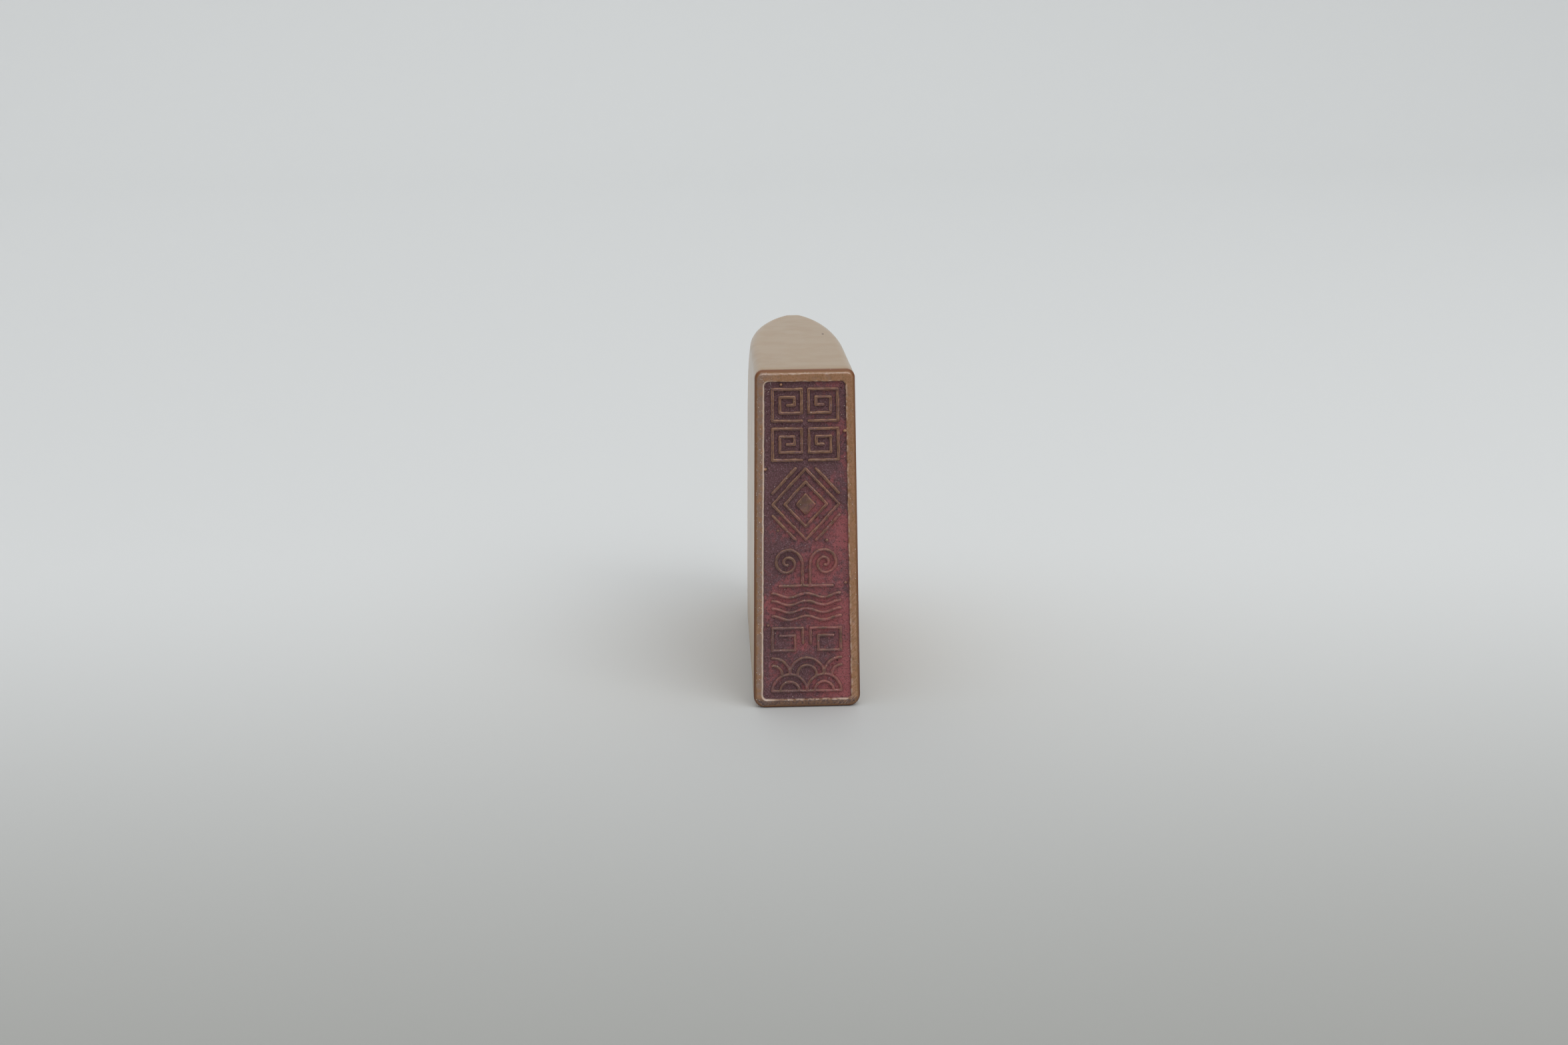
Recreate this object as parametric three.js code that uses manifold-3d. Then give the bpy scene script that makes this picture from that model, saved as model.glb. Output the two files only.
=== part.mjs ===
// A carved stone seal, lying on its narrow side with the printing face towards -Y.
// Millimetres, +Z up. The origin is under the middle of the stone, on the surface it lies on.
// The stone is one block: its rim and the raised lines of the printing face are cut from it.
// Dried seal paste sits on the sunk ground between the lines, as thin films of its own.

import * as THREE from 'three';
import { mergeVertices } from 'three/addons/utils/BufferGeometryUtils.js';
import Module from 'manifold-3d';

// The block: a tall slab, square at the printing face and rounded off to a blunt ridge behind.
const STONE_HEIGHT = 57.3;
const STONE_DEPTH = 68;
const BASE_WIDTH = 18;
const TOP_WIDTH = 16.2;

// How far the broad sides run straight back from the printing face, at the side that the
// stone lies on, at half its height, where it is fullest, and at its upper side.
const STRAIGHT_AT_BASE = 46;
const STRAIGHT_AT_MIDDLE = 52;
const STRAIGHT_AT_TOP = 23;
// How late the sides draw in from their fullest towards the two narrow sides.
const DRAW_IN_POWER = 5;
// How full the rounded end is: 2 is an ellipse, and less is more pointed.
const NOSE_FULLNESS = 1.8;
// How far the ridge leans to the right at the top, and how much of the point is rubbed away.
const RIDGE_LEAN = 1.4;
const RIDGE_BLUNTNESS = 0.005;
// The ridge's own two ends are rounded down to the narrow sides.
const RIDGE_END_RADIUS = 3;

// Rounded long edges, and the smaller rounding round the printing face.
const BASE_EDGE_RADIUS = 2;
const TOP_EDGE_RADIUS = 1.4;
const FACE_EDGE_RADIUS = 0.8;
// Towards the ridge a long edge's rounding takes at most this share of the half width.
const EDGE_SHARE = 0.8;

// The sunk ground of the printing face, measured in from the stone's outer sides.
const SIDE_RIM = 1.55;
const TOP_RIM = 1.9;
const BASE_RIM = 1.5;
const GROUND_CORNER_RADIUS = 0.7;
const GROUND_DEPTH = 0.9;

// The raised lines: their width, and the distance between neighbours.
const LINE_WIDTH = 0.55;
const LINE_PITCH = 1.3;

// Four panels of ornament on the centre line of the ground. The lowest starts at ORNAMENT_BASE,
// each of the others stands PANEL_GAP above the one below it, and the topmost keeps
// ORNAMENT_CLEARANCE free under the rim.
const PANEL_HALF_WIDTH = 5.8;
const ORNAMENT_BASE = 2.9;
const PANEL_GAP = 1.4;
const ORNAMENT_CLEARANCE = 0.5;
const SQUARED_FRET_PITCHES = 3;
const RIPPLE_COUNT = 4;
const RIPPLE_SWELL = 0.35;
const RIPPLE_STEPS = 20;
const SCROLL_EYE_RADIUS = 0.3;
const LOZENGE_HALF_HEIGHT = 6;
const LOZENGE_STEP = 2.15;
const FRET_CELL_PITCHES = 4;

// Dried paste: the film's thickness, and its clearance to the lines and the rim beside it.
const PASTE_THICKNESS = 0.3;
const PASTE_CLEARANCE = 0.12;

// Fineness of the rounded forms.
const EDGE_STEPS = 4;
const SIDE_LEVELS = 10;
const NOSE_STEPS = 16;
const ARC_STEP = Math.PI / 10;
const CURL_STEP = Math.PI / 7;
// Points nearer to each other than this are one point.
const WELD_DISTANCE = 1e-4;

const wasm = await Module();
wasm.setup();

const FACE_Y = -STONE_DEPTH / 2;

function halfWidth(height) {
  return THREE.MathUtils.lerp(BASE_WIDTH, TOP_WIDTH, height / STONE_HEIGHT) / 2;
}

// Where the rounded end starts at a height.
function straightDepth(height) {
  const rise = height / STONE_HEIGHT;
  const end = rise > 0.5 ? STRAIGHT_AT_TOP : STRAIGHT_AT_BASE;
  return THREE.MathUtils.lerp(STRAIGHT_AT_MIDDLE, end, Math.abs(2 * rise - 1) ** DRAW_IN_POWER);
}

// Distance from the centre plane to a broad side; side is -1 on the left and 1 on the right.
function sideReach(side, depth, height) {
  const straight = straightDepth(height);
  if (depth <= straight) {
    return side * halfWidth(height);
  }
  const ridge = RIDGE_LEAN * height / STONE_HEIGHT;
  const along = (1 - RIDGE_BLUNTNESS) * (depth - straight) / (STONE_DEPTH - straight);
  const share = (1 - along ** NOSE_FULLNESS) ** (1 / NOSE_FULLNESS);
  return ridge + side * (halfWidth(height) - side * ridge) * share;
}

// How far the narrow sides have come in at a depth, near the ridge.
function endDrop(depth) {
  const past = Math.max(0, depth - STONE_DEPTH + RIDGE_END_RADIUS);
  return RIDGE_END_RADIUS - Math.sqrt(RIDGE_END_RADIUS ** 2 - past ** 2);
}

// One closed section of the block, square to its depth, drawn in evenly by inset.
function stoneSection(depth, inset) {
  const bottom = endDrop(depth) + inset;
  const top = STONE_HEIGHT - bottom;
  const room = (height) => (sideReach(1, depth, height) - sideReach(-1, depth, height)) / 2;
  const low = Math.min(BASE_EDGE_RADIUS, EDGE_SHARE * room(bottom)) - inset;
  const high = Math.min(TOP_EDGE_RADIUS, EDGE_SHARE * room(top)) - inset;
  const quarter = Array.from({ length: EDGE_STEPS + 1 }, (_, i) => (i / EDGE_STEPS) * Math.PI / 2);
  const stations = quarter.map((turn) => {
    return { tuck: inset + low * (1 - Math.sin(turn)), height: bottom + low * (1 - Math.cos(turn)) };
  });
  for (let i = 1; i < SIDE_LEVELS; i++) {
    const share = (1 - Math.cos(Math.PI * i / SIDE_LEVELS)) / 2;
    stations.push({ tuck: inset, height: THREE.MathUtils.lerp(bottom + low, top - high, share) });
  }
  for (const turn of quarter) {
    stations.push({ tuck: inset + high * (1 - Math.cos(turn)), height: top - high * (1 - Math.sin(turn)) });
  }
  const point = (side, { tuck, height }) => {
    return new THREE.Vector3(sideReach(side, depth, height) - side * tuck, FACE_Y + depth, height);
  };
  const right = stations.map((station) => point(1, station));
  const left = stations.map((station) => point(-1, station)).reverse();
  return [...right, ...left];
}

// The block before it is carved: sections from the face's rounded edge back to the ridge.
function stoneBlock() {
  const sections = [];
  for (let i = 0; i <= EDGE_STEPS; i++) {
    const turn = (i / EDGE_STEPS) * Math.PI / 2;
    const inset = FACE_EDGE_RADIUS * (1 - Math.sin(turn));
    sections.push(stoneSection(FACE_EDGE_RADIUS * (1 - Math.cos(turn)), inset));
  }
  const noseStart = Math.min(STRAIGHT_AT_TOP, STRAIGHT_AT_BASE);
  for (let i = 0; i <= NOSE_STEPS; i++) {
    const turn = (i / NOSE_STEPS) * Math.PI / 2;
    sections.push(stoneSection(noseStart + (STONE_DEPTH - noseStart) * Math.sin(turn), 0));
  }
  const count = sections[0].length;
  const index = [];
  for (let s = 0; s + 1 < sections.length; s++) {
    for (let i = 0; i < count; i++) {
      const a = s * count + i;
      const b = s * count + (i + 1) % count;
      index.push(a, a + count, b, b, a + count, b + count);
    }
  }
  const flat = (section) => section.map((p) => new THREE.Vector2(p.x, p.z));
  for (const [a, b, c] of THREE.ShapeUtils.triangulateShape(flat(sections[0]), [])) {
    index.push(a, b, c);
  }
  const last = (sections.length - 1) * count;
  for (const [a, b, c] of THREE.ShapeUtils.triangulateShape(flat(sections.at(-1)), [])) {
    index.push(last + a, last + c, last + b);
  }
  const geometry = new THREE.BufferGeometry().setFromPoints(sections.flat());
  geometry.setIndex(index);
  return geometry;
}

function toSolid(geometry) {
  const bare = geometry.clone();
  bare.deleteAttribute('normal');
  bare.deleteAttribute('uv');
  const merged = mergeVertices(bare, WELD_DISTANCE);
  return new wasm.Manifold(new wasm.Mesh({
    numProp: 3,
    vertProperties: Float32Array.from(merged.getAttribute('position').array),
    triVerts: Uint32Array.from(merged.index.array),
  }));
}

function toGeometry(solid) {
  const mesh = solid.getMesh();
  const geometry = new THREE.BufferGeometry();
  geometry.setAttribute('position', new THREE.BufferAttribute(mesh.vertProperties, 3));
  geometry.setIndex(new THREE.BufferAttribute(mesh.triVerts, 1));
  geometry.computeVertexNormals();
  return geometry;
}

// A drawing on the printing face, cut into the stone between two depths behind the rim.
function facePrism(shape, nearDepth, farDepth) {
  const geometry = new THREE.ExtrudeGeometry(shape, { depth: farDepth - nearDepth, bevelEnabled: false });
  geometry.rotateX(Math.PI / 2);
  geometry.translate(0, FACE_Y + farDepth, 0);
  return toSolid(geometry);
}

// The outline of the sunk ground, drawn in by a clearance.
function groundShape(clearance) {
  const low = BASE_RIM + clearance;
  const high = STONE_HEIGHT - TOP_RIM - clearance;
  const reach = (height) => halfWidth(height) - SIDE_RIM - clearance;
  const r = GROUND_CORNER_RADIUS;
  const shape = new THREE.Shape();
  shape.moveTo(-reach(low) + r, low);
  shape.lineTo(reach(low) - r, low);
  shape.quadraticCurveTo(reach(low), low, reach(low + r), low + r);
  shape.lineTo(reach(high - r), high - r);
  shape.quadraticCurveTo(reach(high), high, reach(high) - r, high);
  shape.lineTo(-reach(high) + r, high);
  shape.quadraticCurveTo(-reach(high), high, -reach(high - r), high - r);
  shape.lineTo(-reach(low + r), low + r);
  shape.quadraticCurveTo(-reach(low), low, -reach(low) + r, low);
  return shape;
}

// The lines keep to the stone's taper, so a place on the panels is drawn in as it rises.
function onFace(x, height) {
  return new THREE.Vector2(x * halfWidth(height) / halfWidth(0), height);
}

// Points of an arc about (x, height), from one angle to another.
function arc(x, height, radius, from, to) {
  const steps = Math.ceil(Math.abs(to - from) / ARC_STEP);
  return Array.from({ length: steps + 1 }, (_, i) => {
    const angle = THREE.MathUtils.lerp(from, to, i / steps);
    return [x + radius * Math.cos(angle), height + radius * Math.sin(angle)];
  });
}

const mirrored = (points) => points.map(([x, height]) => [-x, height]);

// Lowest panel: overlapping scales, two rows of them on a base line, under a squared fret.
const SCALE_RADIUS = PANEL_HALF_WIDTH / 2;
const SQUARED_FRET_BASE = ORNAMENT_BASE + 2 * SCALE_RADIUS + LINE_PITCH;
const SQUARED_FRET_TOP = SQUARED_FRET_BASE + SQUARED_FRET_PITCHES * LINE_PITCH;

function scaleLines() {
  const lines = [];
  const base = ORNAMENT_BASE;
  const radii = [SCALE_RADIUS, SCALE_RADIUS - LINE_PITCH];
  lines.push({ points: [[-PANEL_HALF_WIDTH, base], [PANEL_HALF_WIDTH, base]] });
  for (const radius of radii) {
    for (const side of [-1, 1]) {
      lines.push({ points: arc(side * SCALE_RADIUS, base, radius, 0, Math.PI) });
    }
    lines.push({ points: arc(0, base + SCALE_RADIUS, radius, 0, Math.PI) });
    const quarter = arc(2 * SCALE_RADIUS, base + SCALE_RADIUS, radius, Math.PI, Math.PI / 2);
    lines.push({ points: quarter }, { points: mirrored(quarter) });
  }
  const low = SQUARED_FRET_BASE;
  const high = SQUARED_FRET_TOP;
  const inner = LINE_PITCH / 2;
  const hook = [
    [inner, low + LINE_PITCH],
    [inner, high],
    [PANEL_HALF_WIDTH, high],
    [PANEL_HALF_WIDTH, low],
    [inner + LINE_PITCH, low],
    [inner + LINE_PITCH, high - LINE_PITCH],
    [PANEL_HALF_WIDTH - LINE_PITCH, high - LINE_PITCH],
  ];
  lines.push({ points: hook }, { points: mirrored(hook) });
  return lines;
}

// Second panel: a pair of round scrolls that stand on one foot line, over a bed of ripples.
const RIPPLE_BASE = SQUARED_FRET_TOP + PANEL_GAP + RIPPLE_SWELL;
const SCROLL_FOOT = RIPPLE_BASE + RIPPLE_COUNT * LINE_PITCH + RIPPLE_SWELL;
const SCROLL_STEM = LINE_PITCH / 2;
const SCROLL_RADIUS = (PANEL_HALF_WIDTH - SCROLL_STEM) / 2;
const SCROLL_MIDDLE = SCROLL_FOOT + LINE_PITCH + SCROLL_RADIUS;

function scrollLines() {
  const lines = [];
  for (let i = 0; i < RIPPLE_COUNT; i++) {
    const height = RIPPLE_BASE + i * LINE_PITCH;
    const points = Array.from({ length: RIPPLE_STEPS + 1 }, (_, k) => {
      const x = THREE.MathUtils.lerp(-PANEL_HALF_WIDTH, PANEL_HALF_WIDTH, k / RIPPLE_STEPS);
      return [x, height + RIPPLE_SWELL * Math.cos(2 * Math.PI * x / PANEL_HALF_WIDTH)];
    });
    lines.push({ points });
  }
  const sweep = 2 * Math.PI * (SCROLL_RADIUS - SCROLL_EYE_RADIUS) / LINE_PITCH;
  const steps = Math.ceil(sweep / CURL_STEP);
  const curl = Array.from({ length: steps + 1 }, (_, i) => {
    const turned = sweep * i / steps;
    const radius = SCROLL_RADIUS - LINE_PITCH * turned / (2 * Math.PI);
    return [
      SCROLL_STEM + SCROLL_RADIUS - radius * Math.cos(turned),
      SCROLL_MIDDLE + radius * Math.sin(turned),
    ];
  });
  const scroll = [[SCROLL_STEM, SCROLL_FOOT], ...curl];
  const footReach = PANEL_HALF_WIDTH - LINE_PITCH;
  lines.push({ points: [[-footReach, SCROLL_FOOT], [footReach, SCROLL_FOOT]] });
  lines.push({ points: scroll }, { points: mirrored(scroll) });
  return lines;
}

// Third panel: two nested lozenges round a solid boss, with a slanted line in each corner.
const LOZENGE_MIDDLE = SCROLL_MIDDLE + SCROLL_RADIUS + PANEL_GAP + LOZENGE_HALF_HEIGHT;

// A lozenge, counted inwards from the outermost.
function lozenge(ring) {
  const x = PANEL_HALF_WIDTH - ring * LOZENGE_STEP;
  const rise = x * LOZENGE_HALF_HEIGHT / PANEL_HALF_WIDTH;
  return [
    [x, LOZENGE_MIDDLE],
    [0, LOZENGE_MIDDLE + rise],
    [-x, LOZENGE_MIDDLE],
    [0, LOZENGE_MIDDLE - rise],
  ];
}

function lozengeLines() {
  const lines = [
    { points: lozenge(0), closed: true },
    { points: lozenge(1), closed: true },
    { points: lozenge(2), filled: true },
  ];
  const slope = LOZENGE_HALF_HEIGHT / PANEL_HALF_WIDTH;
  const rise = LINE_PITCH * Math.hypot(1, slope);
  for (const up of [-1, 1]) {
    const slant = [
      [PANEL_HALF_WIDTH, LOZENGE_MIDDLE + up * rise],
      [rise / slope, LOZENGE_MIDDLE + up * LOZENGE_HALF_HEIGHT],
    ];
    lines.push({ points: slant }, { points: mirrored(slant) });
  }
  return lines;
}

// Top panel: square fret spirals, mirrored left to right, in as many rows as there is room for.
const FRET_BASE = LOZENGE_MIDDLE + LOZENGE_HALF_HEIGHT + PANEL_GAP;
const FRET_CELL_HEIGHT = FRET_CELL_PITCHES * LINE_PITCH;
const FRET_CEILING = STONE_HEIGHT - TOP_RIM - ORNAMENT_CLEARANCE - LINE_WIDTH / 2;

function fretLines() {
  const inner = LINE_PITCH / 2;
  const outer = PANEL_HALF_WIDTH;
  const lines = [];
  const rowPitch = FRET_CELL_HEIGHT + LINE_PITCH;
  for (let base = FRET_BASE; base + FRET_CELL_HEIGHT <= FRET_CEILING; base += rowPitch) {
    const top = base + FRET_CELL_HEIGHT;
    const p = LINE_PITCH;
    const spiral = [
      [inner, base],
      [outer, base],
      [outer, top],
      [inner, top],
      [inner, base + p],
      [outer - p, base + p],
      [outer - p, top - p],
      [inner + p, top - p],
      [inner + p, base + 2 * p],
      [outer - 2 * p, base + 2 * p],
    ];
    lines.push({ points: spiral }, { points: mirrored(spiral) });
  }
  return lines;
}

const LINES = [...scaleLines(), ...scrollLines(), ...lozengeLines(), ...fretLines()];

// A line's edge, offset to one side with mitred corners.
function edge(points, distance, closed) {
  return points.map((here, i) => {
    const before = points[i - 1] ?? (closed ? points.at(-1) : null);
    const after = points[i + 1] ?? (closed ? points[0] : null);
    const normals = [];
    if (before) {
      normals.push(new THREE.Vector2(before.y - here.y, here.x - before.x).normalize());
    }
    if (after) {
      normals.push(new THREE.Vector2(here.y - after.y, after.x - here.x).normalize());
    }
    const miter = normals.reduce((sum, normal) => sum.add(normal), new THREE.Vector2()).normalize();
    return here.clone().addScaledVector(miter, distance / miter.dot(normals[0]));
  });
}

// A raised line as a flat shape of even width, with square ends half a width past its points.
function lineShape({ points, closed = false, filled = false }, width) {
  const path = points.map(([x, height]) => onFace(x, height));
  if (filled) {
    return new THREE.Shape(edge(path, -width / 2, true));
  }
  if (closed) {
    const shape = new THREE.Shape(edge(path, -width / 2, true));
    shape.holes.push(new THREE.Path(edge(path, width / 2, true)));
    return shape;
  }
  const last = path.length - 1;
  const startPull = path[0].clone().sub(path[1]).setLength(width / 2);
  const endPull = path[last].clone().sub(path[last - 1]).setLength(width / 2);
  path[0].add(startPull);
  path[last].add(endPull);
  return new THREE.Shape([...edge(path, -width / 2, false), ...edge(path, width / 2, false).reverse()]);
}

function linesSolid(width, nearDepth, farDepth) {
  return LINES
    .map((line) => facePrism(lineShape(line, width), nearDepth, farDepth))
    .reduce((sum, line) => sum.add(line));
}

// Each cutter runs a little past the faces it has to clear.
const OVERRUN = 0.5;

function carvedStone() {
  const ground = facePrism(groundShape(0), -OVERRUN, GROUND_DEPTH);
  const lines = linesSolid(LINE_WIDTH, 0, GROUND_DEPTH + OVERRUN);
  return toSolid(stoneBlock()).subtract(ground.subtract(lines));
}

// All the paste at once: a film on the ground, cut clear of the lines and the rim.
function pasteFilm() {
  const film = facePrism(groundShape(PASTE_CLEARANCE), GROUND_DEPTH - PASTE_THICKNESS, GROUND_DEPTH);
  const lines = linesSolid(LINE_WIDTH + 2 * PASTE_CLEARANCE, 0, GROUND_DEPTH + OVERRUN);
  return film.subtract(lines);
}

// A closed curve on the face, used to lift one pocket of paste out of the film.
function pocketPrism(points) {
  const outline = new THREE.Shape(points.map(([x, height]) => onFace(x, height)));
  return facePrism(outline, 0, GROUND_DEPTH + OVERRUN);
}

// The closed cells of the relief, each outlined along the middle of the lines round it.
// A cell that holds a smaller one names that one's outline second.
function pocketOutlines() {
  const radius = SCALE_RADIUS;
  const inside = SCALE_RADIUS - LINE_PITCH;
  const base = ORNAMENT_BASE;
  const dome = (x, r) => arc(x, base, r, 0, Math.PI);
  const meet = Math.acos((radius - inside) / radius);
  const valley = [
    ...arc(-radius, base, radius, meet, 0),
    ...arc(radius, base, radius, Math.PI, Math.PI - meet),
  ];
  const shoulder = (turn) => [
    ...arc(-radius, base, radius, Math.PI / 2, turn),
    ...arc(radius, base, radius, Math.PI - turn, Math.PI / 2),
  ];
  const upperInner = [...arc(0, base + radius, inside, 0, Math.PI), ...valley];
  const upperOuter = [...arc(0, base + radius, radius, 0, Math.PI), ...shoulder(0)];
  return {
    paste_lozenge_outer: [lozenge(0), lozenge(1)],
    paste_lozenge_inner: [lozenge(1)],
    paste_scale_left_outer: [dome(-radius, radius), dome(-radius, inside)],
    paste_scale_left_inner: [dome(-radius, inside)],
    paste_scale_right_outer: [dome(radius, radius), dome(radius, inside)],
    paste_scale_right_inner: [dome(radius, inside)],
    paste_scale_upper_outer: [upperOuter, upperInner],
    paste_scale_upper_inner: [upperInner],
  };
}

// Fresher paste on the right of the scrolls and ripples and below the lozenge, up to the rim.
function freshPasteOutline() {
  const [right, , , low] = lozenge(0);
  const bottom = SQUARED_FRET_TOP + PANEL_GAP / 2;
  const past = BASE_WIDTH / 2;
  return [
    [past, right[1]],
    right,
    low,
    [SCROLL_STEM, low[1] - LINE_PITCH],
    [SCROLL_STEM, SCROLL_FOOT],
    [0, SCROLL_FOOT],
    [0, bottom],
    [past, bottom],
  ];
}

const group = new THREE.Group();

function addPiece(name, solid, material) {
  const mesh = new THREE.Mesh(toGeometry(solid), new THREE.MeshStandardMaterial(material));
  mesh.name = name;
  group.add(mesh);
}

const STONE = { color: 0x8f6138, roughness: 0.22, metalness: 0 };
const OLD_PASTE = { color: 0x55383e, roughness: 0.7, metalness: 0 };
const FRESH_PASTE = { color: 0x8d4a4e, roughness: 0.6, metalness: 0 };

addPiece('seal_stone', carvedStone(), STONE);

// The film is parted where the fresher paste ends, then each cell's pocket is lifted out of it.
const parting = { points: freshPasteOutline(), closed: true };
const film = pasteFilm().subtract(facePrism(lineShape(parting, 2 * PASTE_CLEARANCE), 0, GROUND_DEPTH));
const freshArea = pocketPrism(freshPasteOutline());
addPiece('paste_fresh', film.intersect(freshArea), FRESH_PASTE);

let openPaste = film.subtract(freshArea);
for (const [name, [outer, inner]] of Object.entries(pocketOutlines())) {
  let pocket = openPaste.intersect(pocketPrism(outer));
  if (inner) {
    pocket = pocket.subtract(pocketPrism(inner));
  }
  addPiece(name, pocket, OLD_PASTE);
}
for (const [outer] of Object.values(pocketOutlines())) {
  openPaste = openPaste.subtract(pocketPrism(outer));
}
addPiece('paste_open_ground', openPaste, OLD_PASTE);

export default group;
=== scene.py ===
# A carved stone seal that lies on its narrow side, with the printing face towards -Y.
# Metres, +Z up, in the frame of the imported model. Sizes are written in millimetres times MM.

import math

import bmesh
import bpy
import numpy as np
from mathutils import Matrix, Vector, noise
from mathutils.bvhtree import BVHTree


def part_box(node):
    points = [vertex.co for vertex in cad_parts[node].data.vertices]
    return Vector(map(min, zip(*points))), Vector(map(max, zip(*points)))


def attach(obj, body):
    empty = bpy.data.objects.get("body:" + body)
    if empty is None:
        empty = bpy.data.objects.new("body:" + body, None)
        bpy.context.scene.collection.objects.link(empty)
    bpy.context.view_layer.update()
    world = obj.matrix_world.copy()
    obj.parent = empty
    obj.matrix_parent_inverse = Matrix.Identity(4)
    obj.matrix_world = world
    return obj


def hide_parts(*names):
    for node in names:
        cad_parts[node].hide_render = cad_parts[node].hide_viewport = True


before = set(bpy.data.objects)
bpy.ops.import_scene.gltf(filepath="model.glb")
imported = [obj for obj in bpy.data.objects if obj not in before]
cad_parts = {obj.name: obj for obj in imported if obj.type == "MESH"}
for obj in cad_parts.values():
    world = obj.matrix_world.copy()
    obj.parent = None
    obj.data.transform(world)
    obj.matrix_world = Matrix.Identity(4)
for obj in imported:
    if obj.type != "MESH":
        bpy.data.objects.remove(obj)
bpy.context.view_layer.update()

# The block: one tall slab of polished stone, square at the printing face and ground down to a
# rounded ridge behind. Rings of points run from the face back to the ridge, closest together on
# the face, where the carving needs them.
MM = 0.001
block_low, block_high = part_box("seal_stone")
HEIGHT = block_high.z
DEPTH = block_high.y - block_low.y
FACE_Y = block_low.y
BASE_WIDTH = 18 * MM
TOP_WIDTH = 16.2 * MM

STRAIGHT_AT_BASE = 46 * MM
STRAIGHT_AT_MIDDLE = 52 * MM
STRAIGHT_AT_TOP = 23 * MM
DRAW_IN_POWER = 5
NOSE_FULLNESS = 2.1
RIDGE_LEAN = 1.4 * MM
RIDGE_BLUNTNESS = 0.0005
RIDGE_END_RADIUS = 3 * MM
BASE_EDGE_RADIUS = 2 * MM
TOP_EDGE_RADIUS = 1.4 * MM
FACE_EDGE_RADIUS = 0.8 * MM
# Towards the ridge the long edges are rubbed rounder and rounder, at last by this much more.
RIDGE_RUB = 1.0 * MM
RIDGE_RUB_POWER = 3
# Their rounding takes at most this share of the half width.
EDGE_SHARE = 0.9

SIDE_RIM = 1.55 * MM
TOP_RIM = 1.9 * MM
BASE_RIM = 1.5 * MM
GROUND_CORNER_RADIUS = 0.7 * MM
GROUND_DEPTH = 0.9 * MM

# Cells across and up the carved field, and how far that field reaches out under the rim.
FIELD_COLUMNS = 128
FIELD_ROWS = 464
FIELD_MARGIN = 0.5 * MM
# Every this many points of the field's edge share one point of the block behind it.
THINNING = 4
RIM_RINGS = 3
EDGE_RINGS = 6
FLANK_RINGS = 8
NOSE_RINGS = 44
# How finely a ring is drawn before its points are spaced evenly: each corner, and each side.
CORNER_STEPS = 24
SIDE_STEPS = 80


def half_width(height):
    return (BASE_WIDTH + (TOP_WIDTH - BASE_WIDTH) * height / HEIGHT) / 2


def straight_depth(height):
    """Depth at which the broad sides start to draw in towards the ridge."""
    rise = height / HEIGHT
    end = np.where(rise > 0.5, STRAIGHT_AT_TOP, STRAIGHT_AT_BASE)
    return STRAIGHT_AT_MIDDLE + (end - STRAIGHT_AT_MIDDLE) * np.abs(2 * rise - 1) ** DRAW_IN_POWER


def side_reach(side, depth, height):
    """Where a broad side lies; side is -1 on the left and 1 on the right."""
    straight = straight_depth(height)
    ridge = RIDGE_LEAN * height / HEIGHT
    along = np.clip((depth - straight) / (DEPTH - straight), 0, 1) * (1 - RIDGE_BLUNTNESS)
    share = (1 - along ** NOSE_FULLNESS) ** (1 / NOSE_FULLNESS)
    return ridge + side * (half_width(height) - side * ridge) * share


def end_drop(depth):
    """How far the narrow sides have come in, near the ridge."""
    past = max(0.0, depth - DEPTH + RIDGE_END_RADIUS)
    return RIDGE_END_RADIUS - math.sqrt(RIDGE_END_RADIUS**2 - past**2)


def evenly(path, count):
    """Points spaced evenly along a path, without its last one."""
    steps = np.hypot(*np.diff(path, axis=0).T)
    run = np.concatenate([[0], np.cumsum(steps)])
    places = np.linspace(0, run[-1], count + 1)[:-1]
    return np.column_stack([np.interp(places, run, path[:, i]) for i in (0, 1)])


def block_ring(depth, inset, columns, rows):
    """A closed ring square to the block's depth. It runs up the right side, over the top and
    down the left side, and starts in the middle of the lower right corner."""
    low_end = end_drop(depth) + inset
    high_end = HEIGHT - low_end
    room = [side_reach(1, depth, z) - side_reach(-1, depth, z) for z in (low_end, high_end)]
    past = max(0.0, (depth - STRAIGHT_AT_TOP) / (DEPTH - STRAIGHT_AT_TOP))
    rub = RIDGE_RUB * past ** RIDGE_RUB_POWER
    low = min(BASE_EDGE_RADIUS + rub, EDGE_SHARE * room[0] / 2) - inset
    high = min(TOP_EDGE_RADIUS + rub, EDGE_SHARE * room[1] / 2) - inset
    turns = np.linspace(0, math.pi / 2, CORNER_STEPS + 1)
    half = CORNER_STEPS // 2

    def corner(side, turn, radius, up):
        tuck = inset + radius * (1 - np.sin(turn))
        rise = radius * (1 - np.cos(turn))
        height = high_end - rise if up else low_end + rise
        return np.column_stack([side_reach(side, depth, height) - side * tuck, height])

    heights = np.linspace(low_end + low, high_end - high, SIDE_STEPS)[1:-1]
    uprights = []
    for side in (1, -1):
        flank = np.column_stack([side_reach(side, depth, heights) - side * inset, heights])
        uprights.append(np.vstack([
            corner(side, turns[half:], low, False),
            flank,
            corner(side, turns[:half - 1:-1], high, True),
        ]))
    rising, falling = turns[half::-1], turns[:half + 1]
    over = np.vstack([corner(1, rising, high, True), corner(-1, falling, high, True)])
    under = np.vstack([corner(-1, rising, low, False), corner(1, falling, low, False)])
    ring = np.vstack([
        evenly(uprights[0], rows),
        evenly(over, columns),
        evenly(uprights[1][::-1], rows),
        evenly(under, columns),
    ])
    return np.column_stack([ring[:, 0], np.full(len(ring), FACE_Y + depth), ring[:, 1]])


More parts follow.
